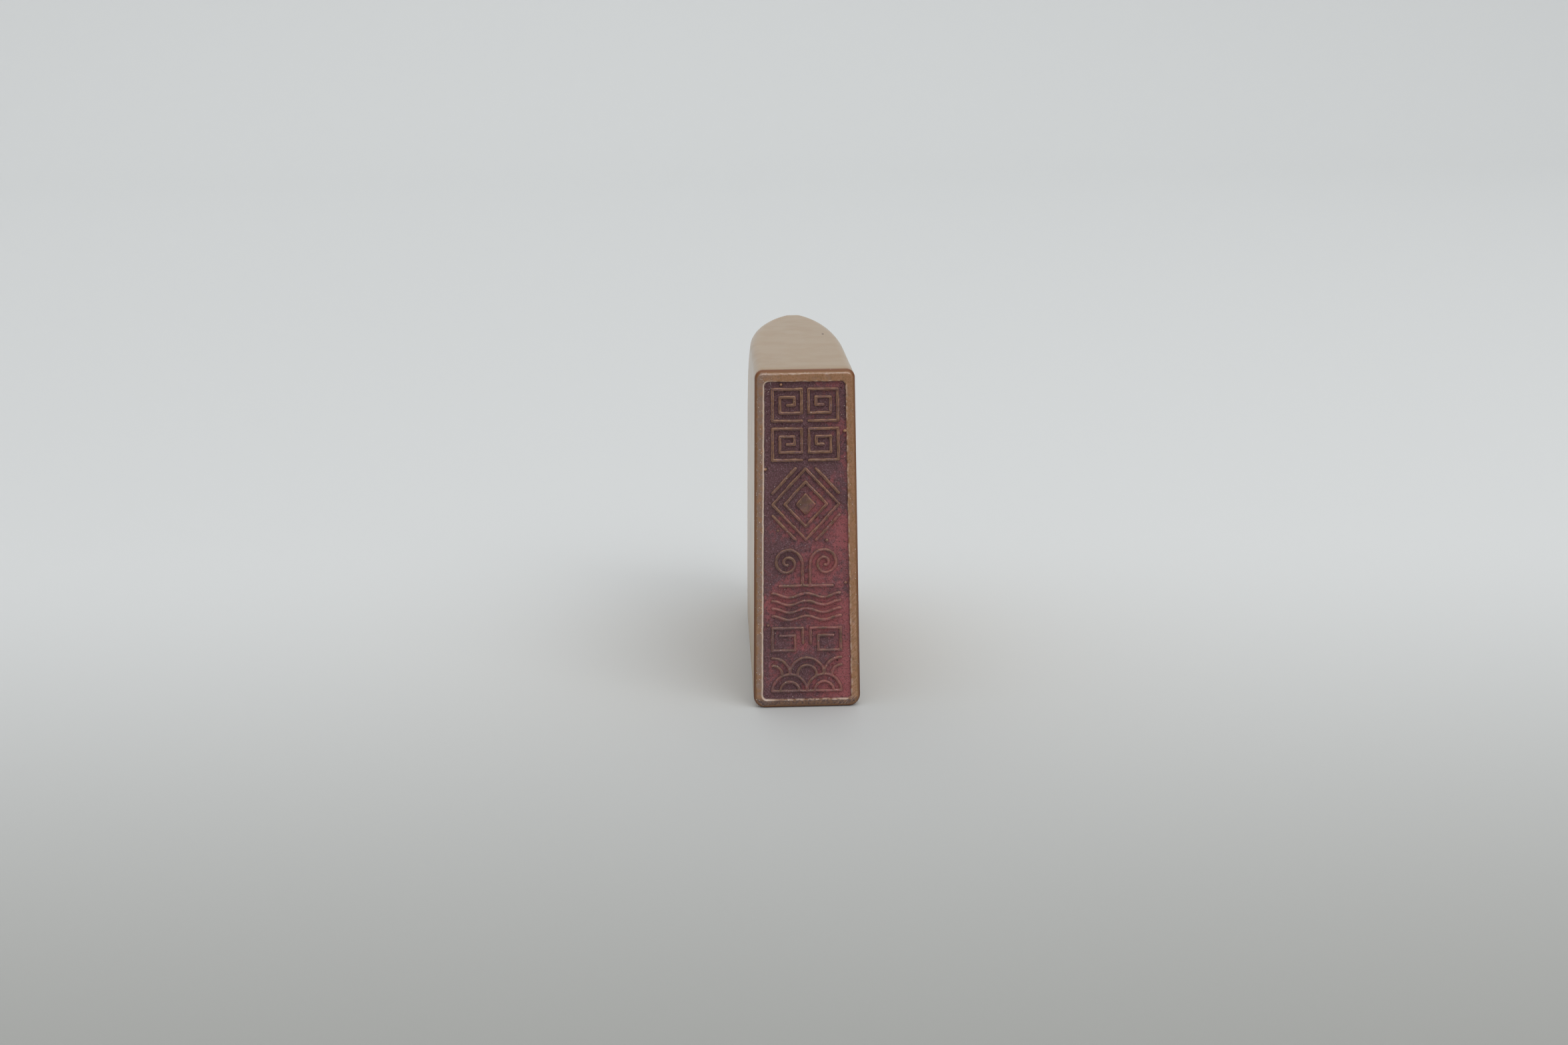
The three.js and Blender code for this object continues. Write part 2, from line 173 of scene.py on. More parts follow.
def carved_field(columns, rows):
    """The grid that the carving is pressed into, and its edge in the order of the rings."""
    heights = np.linspace(BASE_RIM - FIELD_MARGIN, HEIGHT - TOP_RIM + FIELD_MARGIN, rows + 1)
    reach = half_width(heights) - SIDE_RIM + FIELD_MARGIN
    across = np.linspace(-1, 1, columns + 1)
    points = np.stack(
        [
            reach[:, None] * across[None, :],
            np.full((rows + 1, columns + 1), FACE_Y),
            np.repeat(heights[:, None], columns + 1, axis=1),
        ],
        axis=-1,
    )
    number = np.arange((rows + 1) * (columns + 1)).reshape(rows + 1, columns + 1)
    cells = np.stack([number[:-1, :-1], number[:-1, 1:], number[1:, 1:], number[1:, :-1]], axis=-1)
    edge = np.concatenate([number[:-1, -1], number[-1, :0:-1], number[:0:-1, 0], number[0, :-1]])
    return points.reshape(-1, 3), cells.reshape(-1, 4), edge


def block_mesh():
    points, cells, edge = carved_field(FIELD_COLUMNS, FIELD_ROWS)
    faces = cells.tolist()
    stack = [points]
    total = len(points)

    def add_ring(ring):
        nonlocal total
        stack.append(ring)
        total += len(ring)
        return np.arange(total - len(ring), total)

    def wall(near, far):
        quads = [near, far, np.roll(far, -1), np.roll(near, -1)]
        faces.extend(np.column_stack(quads).tolist())

    outline = block_ring(0, FACE_EDGE_RADIUS, FIELD_COLUMNS, FIELD_ROWS)
    near = edge
    for i in range(1, RIM_RINGS):
        share = i / RIM_RINGS
        far = add_ring(points[edge] * (1 - share) + outline * share)
        wall(near, far)
        near = far
    for turn in np.linspace(0, math.pi / 2, EDGE_RINGS):
        inset = FACE_EDGE_RADIUS * (1 - math.sin(turn))
        depth = FACE_EDGE_RADIUS * (1 - math.cos(turn))
        far = add_ring(block_ring(depth, inset, FIELD_COLUMNS, FIELD_ROWS))
        wall(near, far)
        near = far

    flank = np.linspace(FACE_EDGE_RADIUS, STRAIGHT_AT_TOP, FLANK_RINGS + 1)[1:]
    turns = np.linspace(0, math.pi / 2, NOSE_RINGS + 1)[1:]
    nose = STRAIGHT_AT_TOP + (DEPTH - STRAIGHT_AT_TOP) * np.sin(turns)
    columns, rows = FIELD_COLUMNS // THINNING, FIELD_ROWS // THINNING
    for step, depth in enumerate(np.concatenate([flank, nose])):
        far = add_ring(block_ring(depth, 0, columns, rows))
        if step:
            wall(near, far)
        else:
            ahead = np.roll(near, -1)
            for k, here in enumerate(far):
                after = far[(k + 1) % len(far)]
                first = k * THINNING
                middle = first + THINNING // 2
                for i in range(first, first + THINNING):
                    faces.append([near[i], here if i < middle else after, ahead[i]])
                faces.append([near[middle], here, after])
        near = far

    # The last ring closes across the ridge: its right side is joined to its left side.
    top, left = rows, rows + columns
    foot = left + rows
    for i in range(rows):
        faces.append([near[i], near[foot - i], near[foot - i - 1], near[i + 1]])
    faces.append(near[top:left + 1][::-1].tolist())
    faces.append([near[0], *near[:foot - 1:-1].tolist()])

    mesh = bpy.data.meshes.new("seal_block")
    mesh.from_pydata(np.vstack(stack).tolist(), [], faces)
    mesh.shade_smooth()
    return mesh


def new_object(name, data):
    """An object in the scene, with this mesh, light or camera."""
    thing = bpy.data.objects.new(name, data)
    bpy.context.scene.collection.objects.link(thing)
    return thing


block = new_object("carved_seal", block_mesh())

# The ornament: raised lines that the carver left standing, drawn as paths on the printing face.
# Four panels stand one above the other: scales under a squared fret, scrolls over ripples,
# nested lozenges, and square fret spirals. The paths only guide the carving and aren't shown.
LINE_WIDTH = 0.55 * MM
LINE_PITCH = 1.3 * MM
PANEL_HALF_WIDTH = 5.8 * MM
ORNAMENT_BASE = 2.9 * MM
PANEL_GAP = 1.4 * MM
ORNAMENT_CLEARANCE = 0.5 * MM
SQUARED_FRET_PITCHES = 3
RIPPLE_COUNT = 4
RIPPLE_SWELL = 0.35 * MM
SCROLL_EYE_RADIUS = 0.3 * MM
LOZENGE_HALF_HEIGHT = 6 * MM
LOZENGE_STEP = 2.15 * MM
FRET_CELL_PITCHES = 4
ARC_STEPS = 24
RIPPLE_STEPS = 60
SCROLL_STEPS = 90

SCALE_RADIUS = PANEL_HALF_WIDTH / 2
SQUARED_FRET_BASE = ORNAMENT_BASE + 2 * SCALE_RADIUS + LINE_PITCH
SQUARED_FRET_TOP = SQUARED_FRET_BASE + SQUARED_FRET_PITCHES * LINE_PITCH
RIPPLE_BASE = SQUARED_FRET_TOP + PANEL_GAP + RIPPLE_SWELL
SCROLL_FOOT = RIPPLE_BASE + RIPPLE_COUNT * LINE_PITCH + RIPPLE_SWELL
SCROLL_STEM = LINE_PITCH / 2
SCROLL_RADIUS = (PANEL_HALF_WIDTH - SCROLL_STEM) / 2
SCROLL_MIDDLE = SCROLL_FOOT + LINE_PITCH + SCROLL_RADIUS
LOZENGE_MIDDLE = SCROLL_MIDDLE + SCROLL_RADIUS + PANEL_GAP + LOZENGE_HALF_HEIGHT
FRET_BASE = LOZENGE_MIDDLE + LOZENGE_HALF_HEIGHT + PANEL_GAP


def mirrored(lines):
    """Each line, and its mirror image on the other half of the face."""
    return [line * sign for line in lines for sign in (np.array([1, 1]), np.array([-1, 1]))]


def arc(x, height, radius, start, end):
    turn = np.linspace(start, end, ARC_STEPS + 1)
    return np.column_stack([x + radius * np.cos(turn), height + radius * np.sin(turn)])


def scale_lines():
    base = ORNAMENT_BASE
    lines = [np.array([[-PANEL_HALF_WIDTH, base], [PANEL_HALF_WIDTH, base]])]
    for radius in (SCALE_RADIUS, SCALE_RADIUS - LINE_PITCH):
        upper = base + SCALE_RADIUS
        lines.append(arc(0, upper, radius, 0, math.pi))
        lines.extend(mirrored([
            arc(SCALE_RADIUS, base, radius, 0, math.pi),
            arc(PANEL_HALF_WIDTH, upper, radius, math.pi, math.pi / 2),
        ]))
    return lines


def squared_fret_lines():
    low, high, inner, outer = SQUARED_FRET_BASE, SQUARED_FRET_TOP, LINE_PITCH / 2, PANEL_HALF_WIDTH
    p = LINE_PITCH
    hook = [
        [inner, low + p],
        [inner, high],
        [outer, high],
        [outer, low],
        [inner + p, low],
        [inner + p, high - p],
        [outer - p, high - p],
    ]
    return mirrored([np.array(hook)])


def ripple_lines():
    x = np.linspace(-PANEL_HALF_WIDTH, PANEL_HALF_WIDTH, RIPPLE_STEPS + 1)
    swell = RIPPLE_SWELL * np.cos(2 * math.pi * x / PANEL_HALF_WIDTH)
    return [np.column_stack([x, RIPPLE_BASE + i * LINE_PITCH + swell]) for i in range(RIPPLE_COUNT)]


def scroll_lines():
    sweep = 2 * math.pi * (SCROLL_RADIUS - SCROLL_EYE_RADIUS) / LINE_PITCH
    turned = np.linspace(0, sweep, SCROLL_STEPS)
    radius = SCROLL_RADIUS - LINE_PITCH * turned / (2 * math.pi)
    x = SCROLL_STEM + SCROLL_RADIUS - radius * np.cos(turned)
    curl = np.column_stack([x, SCROLL_MIDDLE + radius * np.sin(turned)])
    foot_reach = PANEL_HALF_WIDTH - LINE_PITCH
    foot = np.array([[-foot_reach, SCROLL_FOOT], [foot_reach, SCROLL_FOOT]])
    return [foot, *mirrored([np.vstack([[SCROLL_STEM, SCROLL_FOOT], curl])])]


def lozenge(reach):
    """A closed lozenge that reaches this far to either side."""
    rise = reach * LOZENGE_HALF_HEIGHT / PANEL_HALF_WIDTH
    corners = [[reach, 0], [0, rise], [-reach, 0], [0, -rise], [reach, 0]]
    return np.array(corners) + [0, LOZENGE_MIDDLE]


def lozenge_lines():
    rings = [PANEL_HALF_WIDTH - ring * LOZENGE_STEP for ring in range(3)]
    # The innermost lozenge is a solid boss, so it is filled with ever smaller ones.
    rings += np.arange(rings[-1], 0, -LINE_WIDTH / 3).tolist()
    slope = LOZENGE_HALF_HEIGHT / PANEL_HALF_WIDTH
    rise = LINE_PITCH * math.hypot(1, slope)
    slants = [
        np.array([
            [PANEL_HALF_WIDTH, LOZENGE_MIDDLE + up * rise],
            [rise / slope, LOZENGE_MIDDLE + up * LOZENGE_HALF_HEIGHT],
        ])
        for up in (-1, 1)
    ]
    return [lozenge(reach) for reach in rings] + mirrored(slants)


def fret_lines():
    inner, outer, p = LINE_PITCH / 2, PANEL_HALF_WIDTH, LINE_PITCH
    cell = FRET_CELL_PITCHES * p
    ceiling = HEIGHT - TOP_RIM - ORNAMENT_CLEARANCE - LINE_WIDTH / 2
    lines = []
    base = FRET_BASE
    while base + cell <= ceiling:
        top = base + cell
        spiral = [
            [inner, base],
            [outer, base],
            [outer, top],
            [inner, top],
            [inner, base + p],
            [outer - p, base + p],
            [outer - p, top - p],
            [inner + p, top - p],
            [inner + p, base + 2 * p],
            [outer - 2 * p, base + 2 * p],
        ]
        lines.append(np.array(spiral))
        base += cell + p
    return mirrored(lines)


# Nubs of stone that the carver's knife left standing on the ground, as x and height in
# millimetres, and how far each reaches to either side before its line is widened.
NUBS = [
    [-3.9, 54.9], [6.4, 47.2], [-6.5, 41.0], [-4.6, 30.6], [3.4, 28.9], [6.5, 21.6], [-6.4, 14.4],
]
NUB_REACH = 0.02


def guide_object(name, points, edges):
    """A hidden mesh in the plane of the printing face that a carving tree measures from."""
    mesh = bpy.data.meshes.new(name)
    mesh.from_pydata([(x, FACE_Y, height) for x, height in points], edges, [])
    return new_object(name, mesh)


def ornament_guide():
    lines = [
        *scale_lines(), *squared_fret_lines(), *ripple_lines(), *scroll_lines(),
        *lozenge_lines(), *fret_lines(),
    ]
    points, edges = [], []
    for line in lines:
        start = len(points)
        # The ornament keeps to the stone's taper, so it is drawn in as it rises.
        taper = half_width(line[:, 1]) / half_width(0)
        points.extend(np.column_stack([line[:, 0] * taper, line[:, 1]]).tolist())
        edges.extend((i, i + 1) for i in range(start, len(points) - 1))
    for x, height in NUBS:
        edges.append((len(points), len(points) + 1))
        points.extend([[(x - NUB_REACH) * MM, height * MM], [(x + NUB_REACH) * MM, height * MM]])
    return guide_object("ornament_guide", points, edges)


def ground_guide():
    low, high, r = BASE_RIM, HEIGHT - TOP_RIM, GROUND_CORNER_RADIUS
    right = np.vstack([
        arc(half_width(low) - SIDE_RIM - r, low + r, r, -math.pi / 2, 0),
        arc(half_width(high) - SIDE_RIM - r, high - r, r, 0, math.pi / 2),
    ])
    outline = np.vstack([right, right[::-1] * [-1, 1]]).tolist()
    edges = [(i, (i + 1) % len(outline)) for i in range(len(outline))]
    return guide_object("ground_guide", outline, edges)


ornament = ornament_guide()
ground = ground_guide()

# The carving: everything but the lines is cut away, to an even depth behind the rim. The cut
# follows the paths by rule: a line stands where a path is near, its walls slope down to the
# ground, and a slow wander of the knife keeps lines and rim from being quite straight.
LINE_SLOPE = 0.36 * MM
LINE_UNEVENNESS = 0.4
LINE_UNEVEN_SIZE = 1.1 * MM
RIM_SLOPE = 0.36 * MM
# The share of the rim's wall that lies outside the drawn edge of the ground.
RIM_OVERHANG = 0.3
RIM_ROUGHNESS = 0.06 * MM
RIM_ROUGH_SIZE = 0.9 * MM
# The lip of the rim, from its outer side to its edge, measured inwards: rubbed bare stone, partly a
# painted highlight.
LIP_REACH = (-0.3 * MM, -0.08 * MM)
KNIFE_WANDER = 0.1 * MM
WANDER_SIZE = 2.4 * MM
TOOL_MARKS = 0.1 * MM
TOOL_MARK_SIZE = 0.55 * MM
LINE_WEAR = 0.08 * MM
WEAR_SIZE = 0.9 * MM
POLISH_WAVES = 0.03 * MM
WAVE_SIZE = 9 * MM
# The hidden meshes that a tree measures from.
GUIDES = {"Lines": "Object", "Ground": "Object"}


def new_tree(name, inputs, outputs, tree_type="GeometryNodeTree"):
    """An empty node tree with named sockets. An input is given as its type or as its value."""
    tree = bpy.data.node_groups.new(name, tree_type)
    for label, value in inputs.items():
        kind = value if isinstance(value, str) else type(value).__name__.capitalize()
        socket = tree.interface.new_socket(label, in_out="INPUT", socket_type=f"NodeSocket{kind}")
        if kind != value:
            socket.default_value = value
    for label, kind in outputs.items():
        tree.interface.new_socket(label, in_out="OUTPUT", socket_type=f"NodeSocket{kind}")
    return tree, tree.nodes.new("NodeGroupInput").outputs, tree.nodes.new("NodeGroupOutput")


def mesh_tree(name, inputs):
    """An empty tree that changes a mesh and sets its material."""
    inputs = {"Geometry": "Geometry", **inputs, "Material": "Material"}
    return new_tree(name, inputs, {"Geometry": "Geometry"})


def fill(tree, node, sockets):
    """Fills a node's sockets with values or links."""
    for name, value in sockets.items():
        if isinstance(name, int):
            socket = node.inputs[name]
        else:
            socket = next(s for s in node.inputs if s.name == name and s.enabled)
        if isinstance(value, bpy.types.NodeSocket):
            tree.links.new(value, socket)
        else:
            socket.default_value = value


def put(tree, kind, sockets=None, **settings):
    """Adds a node, makes its settings, and fills its sockets."""
    node = tree.nodes.new(kind)
    for name, setting in settings.items():
        setattr(node, name, setting)
    fill(tree, node, sockets or {})
    return node


def enabled_output(node):
    """The output that a node's settings leave in use."""
    return next(socket for socket in node.outputs if socket.enabled)


def calc(tree, operation, *values):
    """A Math node's result."""
    return put(tree, "ShaderNodeMath", dict(enumerate(values)), operation=operation).outputs[0]


def times(tree, product, *factors):
    """The product of two or more values."""
    for factor in factors:
        product = calc(tree, "MULTIPLY", product, factor)
    return product


def scaled(tree, value, factor, offset):
    """A value times a factor, plus an offset."""
    return calc(tree, "MULTIPLY_ADD", value, factor, offset)


def minus(tree, value, other):
    return calc(tree, "SUBTRACT", value, other)


def most(tree, highest, *others):
    """The highest of two or more values."""
    for other in others:
        highest = calc(tree, "MAXIMUM", highest, other)
    return highest


def vector(tree, operation, *values):
    """A Vector Math node's result: a vector, or a value for a length or a dot product."""
    sockets = dict(enumerate(values))
    if operation == "SCALE":
        sockets = {0: values[0], "Scale": values[1]}
    node = put(tree, "ShaderNodeVectorMath", sockets, operation=operation)
    return enabled_output(node)


def parts_of(tree, place):
    """A vector's X, Y and Z."""
    return put(tree, "ShaderNodeSeparateXYZ", {0: place}).outputs


def joined(tree, x, y, z):
    """A vector made of its X, Y and Z."""
    return put(tree, "ShaderNodeCombineXYZ", {"X": x, "Y": y, "Z": z}).outputs[0]


def position(tree):
    return put(tree, "GeometryNodeInputPosition").outputs[0]


def ramp(tree, value, start, end, low=0.0, high=1.0):
    """A value eased from low to high as it goes from start to end."""
    sockets = {"Value": value, "From Min": start, "From Max": end, "To Min": low, "To Max": high}
    node = put(tree, "ShaderNodeMapRange", sockets, interpolation_type="SMOOTHSTEP")
    return node.outputs["Result"]


def grain(tree, size, seed, place=None, detail=2.0, output="Fac"):
    """Noise of about this grain size, with the seed as its fourth coordinate."""
    sockets = {"Scale": 1 / size, "W": seed, "Detail": detail}
    if place:
        sockets["Vector"] = place
    return put(tree, "ShaderNodeTexNoise", sockets, noise_dimensions="4D").outputs[output]


def relief_tree():
    """How far the face is cut down at a place: 0 on the rim and the lines, 1 on the ground.
    Lip is 1 along the top edge of the wall inside the rim."""
    inputs = {
        **GUIDES, "Face Y": FACE_Y, "Line Width": LINE_WIDTH, "Line Slope": LINE_SLOPE,
        "Rim Slope": RIM_SLOPE, "Wander": KNIFE_WANDER, "Seed": 0.0,
    }
    tree, given, result = new_tree("relief", inputs, {"Sunk": "Float", "Lip": "Float"})
    x, _, z = parts_of(tree, position(tree))
    flat = joined(tree, x, given["Face Y"], z)
    drift = grain(tree, WANDER_SIZE, given["Seed"], flat, output="Color")
    drift = vector(tree, "SUBTRACT", drift, (0.5, 0.5, 0.5))
    drift = vector(tree, "MULTIPLY", drift, (2.0, 0.0, 2.0))
    place = vector(tree, "ADD", flat, vector(tree, "SCALE", drift, given["Wander"]))

    def nearest(source):
        shape = put(tree, "GeometryNodeObjectInfo", {"Object": source}, transform_space="ORIGINAL")
        sockets = {"Geometry": shape.outputs["Geometry"], "Sample Position": place}
        return put(tree, "GeometryNodeProximity", sockets, target_element="EDGES").outputs

    # A line is as wide as it says half way down its walls, give or take some unevenness.
    uneven = grain(tree, LINE_UNEVEN_SIZE, given["Seed"], flat)
    uneven = scaled(tree, uneven, 2 * LINE_UNEVENNESS, -LINE_UNEVENNESS)
    edge = times(tree, given["Line Width"], calc(tree, "ADD", uneven, 1.0), 0.5)
    start = scaled(tree, given["Line Slope"], -0.5, edge)
    end = scaled(tree, given["Line Slope"], 0.5, edge)
    off_line = ramp(tree, nearest(given["Lines"])["Distance"], start, end)

    # The ground is convex: a place lies on it if it is on the middle's side of the nearest edge.
    rim = nearest(given["Ground"])
    away = vector(tree, "SUBTRACT", place, rim["Position"])
    middle = vector(tree, "SUBTRACT", (0, FACE_Y, HEIGHT / 2), rim["Position"])
    side = vector(tree, "DOT_PRODUCT", away, middle)
    inwards = times(tree, rim["Distance"], calc(tree, "SIGN", side))
    rough = grain(tree, RIM_ROUGH_SIZE, given["Seed"], flat)
    rough = scaled(tree, rough, 2 * RIM_ROUGHNESS, -RIM_ROUGHNESS)
    inwards = calc(tree, "ADD", inwards, rough)
    # The wall starts a little outside the drawn edge and ends inside it.
    ledge = times(tree, given["Rim Slope"], RIM_OVERHANG)
    foot = minus(tree, given["Rim Slope"], ledge)
    within = ramp(tree, inwards, times(tree, ledge, -1.0), foot)
    lip = times(tree, ramp(tree, inwards, *LIP_REACH), ramp(tree, within, 0.65, 0.0))
    fill(tree, result, {"Sunk": times(tree, off_line, within), "Lip": lip})
    return tree


def use_relief(tree, given):
    """Places the relief tree in another one and passes its like-named inputs on."""
    node = put(tree, "GeometryNodeGroup", node_tree=relief)
    for socket in node.inputs:
        if socket.name in given:
            tree.links.new(given[socket.name], socket)
    return node.outputs["Sunk"], node.outputs["Lip"]


relief = relief_tree()


def marked_with(tree, geometry, name, value):
    """Keeps a value on the points of a mesh, for its material to read."""
    sockets = {"Geometry": geometry, "Name": name, "Value": value}
    settings = {"data_type": "FLOAT", "domain": "POINT"}
    return put(tree, "GeometryNodeStoreNamedAttribute", sockets, **settings).outputs[0]


def end_tree(tree, given, result, geometry):
    """Makes the instances real, sets the material, and gives out the mesh."""
    real = put(tree, "GeometryNodeRealizeInstances", {"Geometry": geometry}).outputs[0]
    sockets = {"Geometry": real, "Material": given["Material"]}
    fill(tree, result, {"Geometry": put(tree, "GeometryNodeSetMaterial", sockets).outputs[0]})
    return tree


def carving_tree():
    tree, given, result = mesh_tree("carve_face", {
        **GUIDES, "Seed": 3.0, "Ground Depth": GROUND_DEPTH, "Tool Marks": TOOL_MARKS,
        "Line Wear": LINE_WEAR, "Polish Waves": POLISH_WAVES,
    })
    sunk, lip = use_relief(tree, given)
    y = parts_of(tree, position(tree))["Y"]
    on_face = calc(tree, "LESS_THAN", y, FACE_Y + 1e-6)
    sunk = times(tree, sunk, on_face)

    marks = minus(tree, grain(tree, TOOL_MARK_SIZE, given["Seed"]), 0.5)
    marks = times(tree, marks, given["Tool Marks"], sunk)
    worn = ramp(tree, grain(tree, WEAR_SIZE, given["Seed"]), 0.42, 0.75)
    worn = times(tree, worn, given["Line Wear"], on_face)
    depth = scaled(tree, sunk, given["Ground Depth"], marks)
    depth = calc(tree, "ADD", depth, worn)

    # The polished sides have shallow waves, which only ever lie inside the true form.
    waves = grain(tree, WAVE_SIZE, given["Seed"], detail=1.0)
    waves = times(tree, waves, given["Polish Waves"], minus(tree, on_face, 1.0))
    surface = put(tree, "GeometryNodeInputNormal").outputs["Normal"]
    inwards = vector(tree, "SCALE", surface, waves)
    offset = vector(tree, "ADD", joined(tree, 0.0, depth, 0.0), inwards)

    marked = marked_with(tree, given["Geometry"], "sunk", sunk)
    marked = marked_with(tree, marked, "lip", times(tree, lip, on_face))
    moved = put(tree, "GeometryNodeSetPosition", {"Geometry": marked, "Offset": offset})
    return end_tree(tree, given, result, moved.outputs[0])


def keep_result(piece, tree, values):
    """Runs a geometry tree on a piece and keeps what it makes as the piece's plain mesh."""
    modifier = piece.modifiers.new(tree.name, "NODES")
    modifier.node_group = tree
    for socket in tree.interface.items_tree:
        if socket.in_out == "INPUT" and socket.name in values:
            modifier[socket.identifier] = values[socket.name]
    graph = bpy.context.evaluated_depsgraph_get()
    mesh = bpy.data.meshes.new_from_object(piece.evaluated_get(graph), depsgraph=graph)
    mesh.name = piece.name
    piece.modifiers.remove(modifier)
    piece.data = mesh
    return mesh


# The stone's finish: waxy caramel stone with faint bands and clouds in it. The sides are polished
# and the printing face is sanded. Years of paste have stained the carving, and its edges are
# rubbed bare again; some edges carry painted highlights, and the rounding round the face has
# painted shade. Some of these tones are used for the paste too.
STONE_TONES = ((0.25, 0.125, 0.036, 1), (0.37, 0.21, 0.066, 1), (0.46, 0.285, 0.11, 1))
EVEN_TONE = 0.525
CLOUD_SIZE = 13 * MM
BAND_LENGTHS = (22 * MM, 1.3 * MM, 15 * MM)
FLECK_SIZE = 0.8 * MM
# Painted shade tones for the rounding round the face, the upper and then the lower.
ROUNDING_SHADE_TONES = ((0.19, 0.058, 0.008, 1), (0.105, 0.021, 0.003, 1))
SANDED_TONE = (0.4, 0.2, 0.105, 1)
DUSTY_TONE = (0.27, 0.175, 0.135, 1)
WORN_TONE = (0.72, 0.5, 0.37, 1)
GLINT_TONE = (1.0, 0.96, 0.92, 1)
LINE_TONE = (0.13, 0.056, 0.027, 1)
WORN_AND_LIT_LINE_TONE = (0.55, 0.315, 0.185, 1)
# Dark grime; also the painted shade against the paste's walls and in its pores.
GRIME_AND_SHADE_TONE = (0.08, 0.045, 0.042, 1)
OLD_TONE = (0.145, 0.057, 0.067, 1)
RED_TONE = (0.37, 0.098, 0.105, 1)
PALE_PASTE_TONE = (0.31, 0.2, 0.225, 1)
BARE_AND_HIGHLIGHT_TONE = (0.86, 0.68, 0.57, 1)
INCLUSION_TONE = (0.05, 0.022, 0.006, 1)
INCLUSION_PLACE = (5.2 * MM, 5.6 * MM, HEIGHT)
INCLUSION_SQUEEZE = (1.0, 0.34, 1.0)
# The heights between which the carving gets duller and grimier, from the upper to the lower.
DULLING = (50 * MM, 14 * MM)


def blend(tree, amount, under, over):
    sockets = {"Factor": amount, "A": under, "B": over}
    return enabled_output(put(tree, "ShaderNodeMix", sockets, data_type="RGBA"))


def object_place(tree):
    return put(tree, "ShaderNodeTexCoord").outputs["Object"]


def kept(tree, name):
    """A value that the carving left on the points of the mesh."""
    return put(tree, "ShaderNodeAttribute", attribute_name=name).outputs["Fac"]


def use(tree, group, sockets):
    """Places a shader node group and gives its outputs."""
    return put(tree, "ShaderNodeGroup", sockets, node_tree=group).outputs


def stretched(tree, place, lengths, turn=(0.0, 0.0, 0.0)):
    """Draws a pattern out to these lengths along three axes, which are turned first."""
    sockets = {"Vector": place, "Rotation": turn, "Scale": lengths}
    return put(tree, "ShaderNodeMapping", sockets, vector_type="TEXTURE").outputs[0]


def specks_group():
    """Small separate specks: only some cells of a pattern hold one, of the given share."""
    inputs = {"Vector": "Vector", "Spacing": MM, "Share": 0.3, "Size": 0.15}
    tree, given, result = new_tree("specks", inputs, {"Mask": "Float"}, "ShaderNodeTree")
    scale = calc(tree, "DIVIDE", 1.0, given["Spacing"])
    cells = put(tree, "ShaderNodeTexVoronoi", {"Vector": given["Vector"], "Scale": scale}).outputs
    parts = put(tree, "ShaderNodeSeparateColor", {0: cells["Color"]}).outputs
    held = calc(tree, "LESS_THAN", parts[0], given["Share"])
    size = times(tree, given["Size"], calc(tree, "ADD", parts[1], 0.4))
    dot = ramp(tree, cells["Distance"], size, times(tree, size, 0.5))
    fill(tree, result, {"Mask": times(tree, dot, held)})
    return tree


def specked(tree, place, spacing, share, size):
    """The mask of specks at this spacing; their size is a share of it."""
    sockets = {"Vector": place, "Spacing": spacing, "Share": share, "Size": size}
    return use(tree, specks, sockets)["Mask"]


def scratches_group():
    """Fine straight scratches, all in one direction, that come and go."""
    inputs = {"Vector": "Vector", "Width": 0.05 * MM, "Share": 0.4, "Seed": 0.0}
    tree, given, result = new_tree("fine_scratches", inputs, {"Mask": "Float"}, "ShaderNodeTree")
    scale = calc(tree, "DIVIDE", 1.0, given["Width"])
    sockets = {"Vector": given["Vector"], "W": given["Seed"], "Scale": scale, "Detail": 1.0}
    lines = put(tree, "ShaderNodeTexNoise", sockets, noise_dimensions="4D").outputs[0]
    limit = scaled(tree, given["Share"], -0.3, 0.78)
    fill(tree, result, {"Mask": ramp(tree, lines, limit, calc(tree, "ADD", limit, 0.08))})
    return tree


def scratched(tree, place, length, turn, width, share, seed):
    """The mask of scratches this many times as long as wide, turned about the depth."""
    drawn = stretched(tree, place, (1, 1, length), (0, turn, 0))
    sockets = {"Vector": drawn, "Width": width, "Share": share, "Seed": seed}
    return use(tree, scratches, sockets)["Mask"]


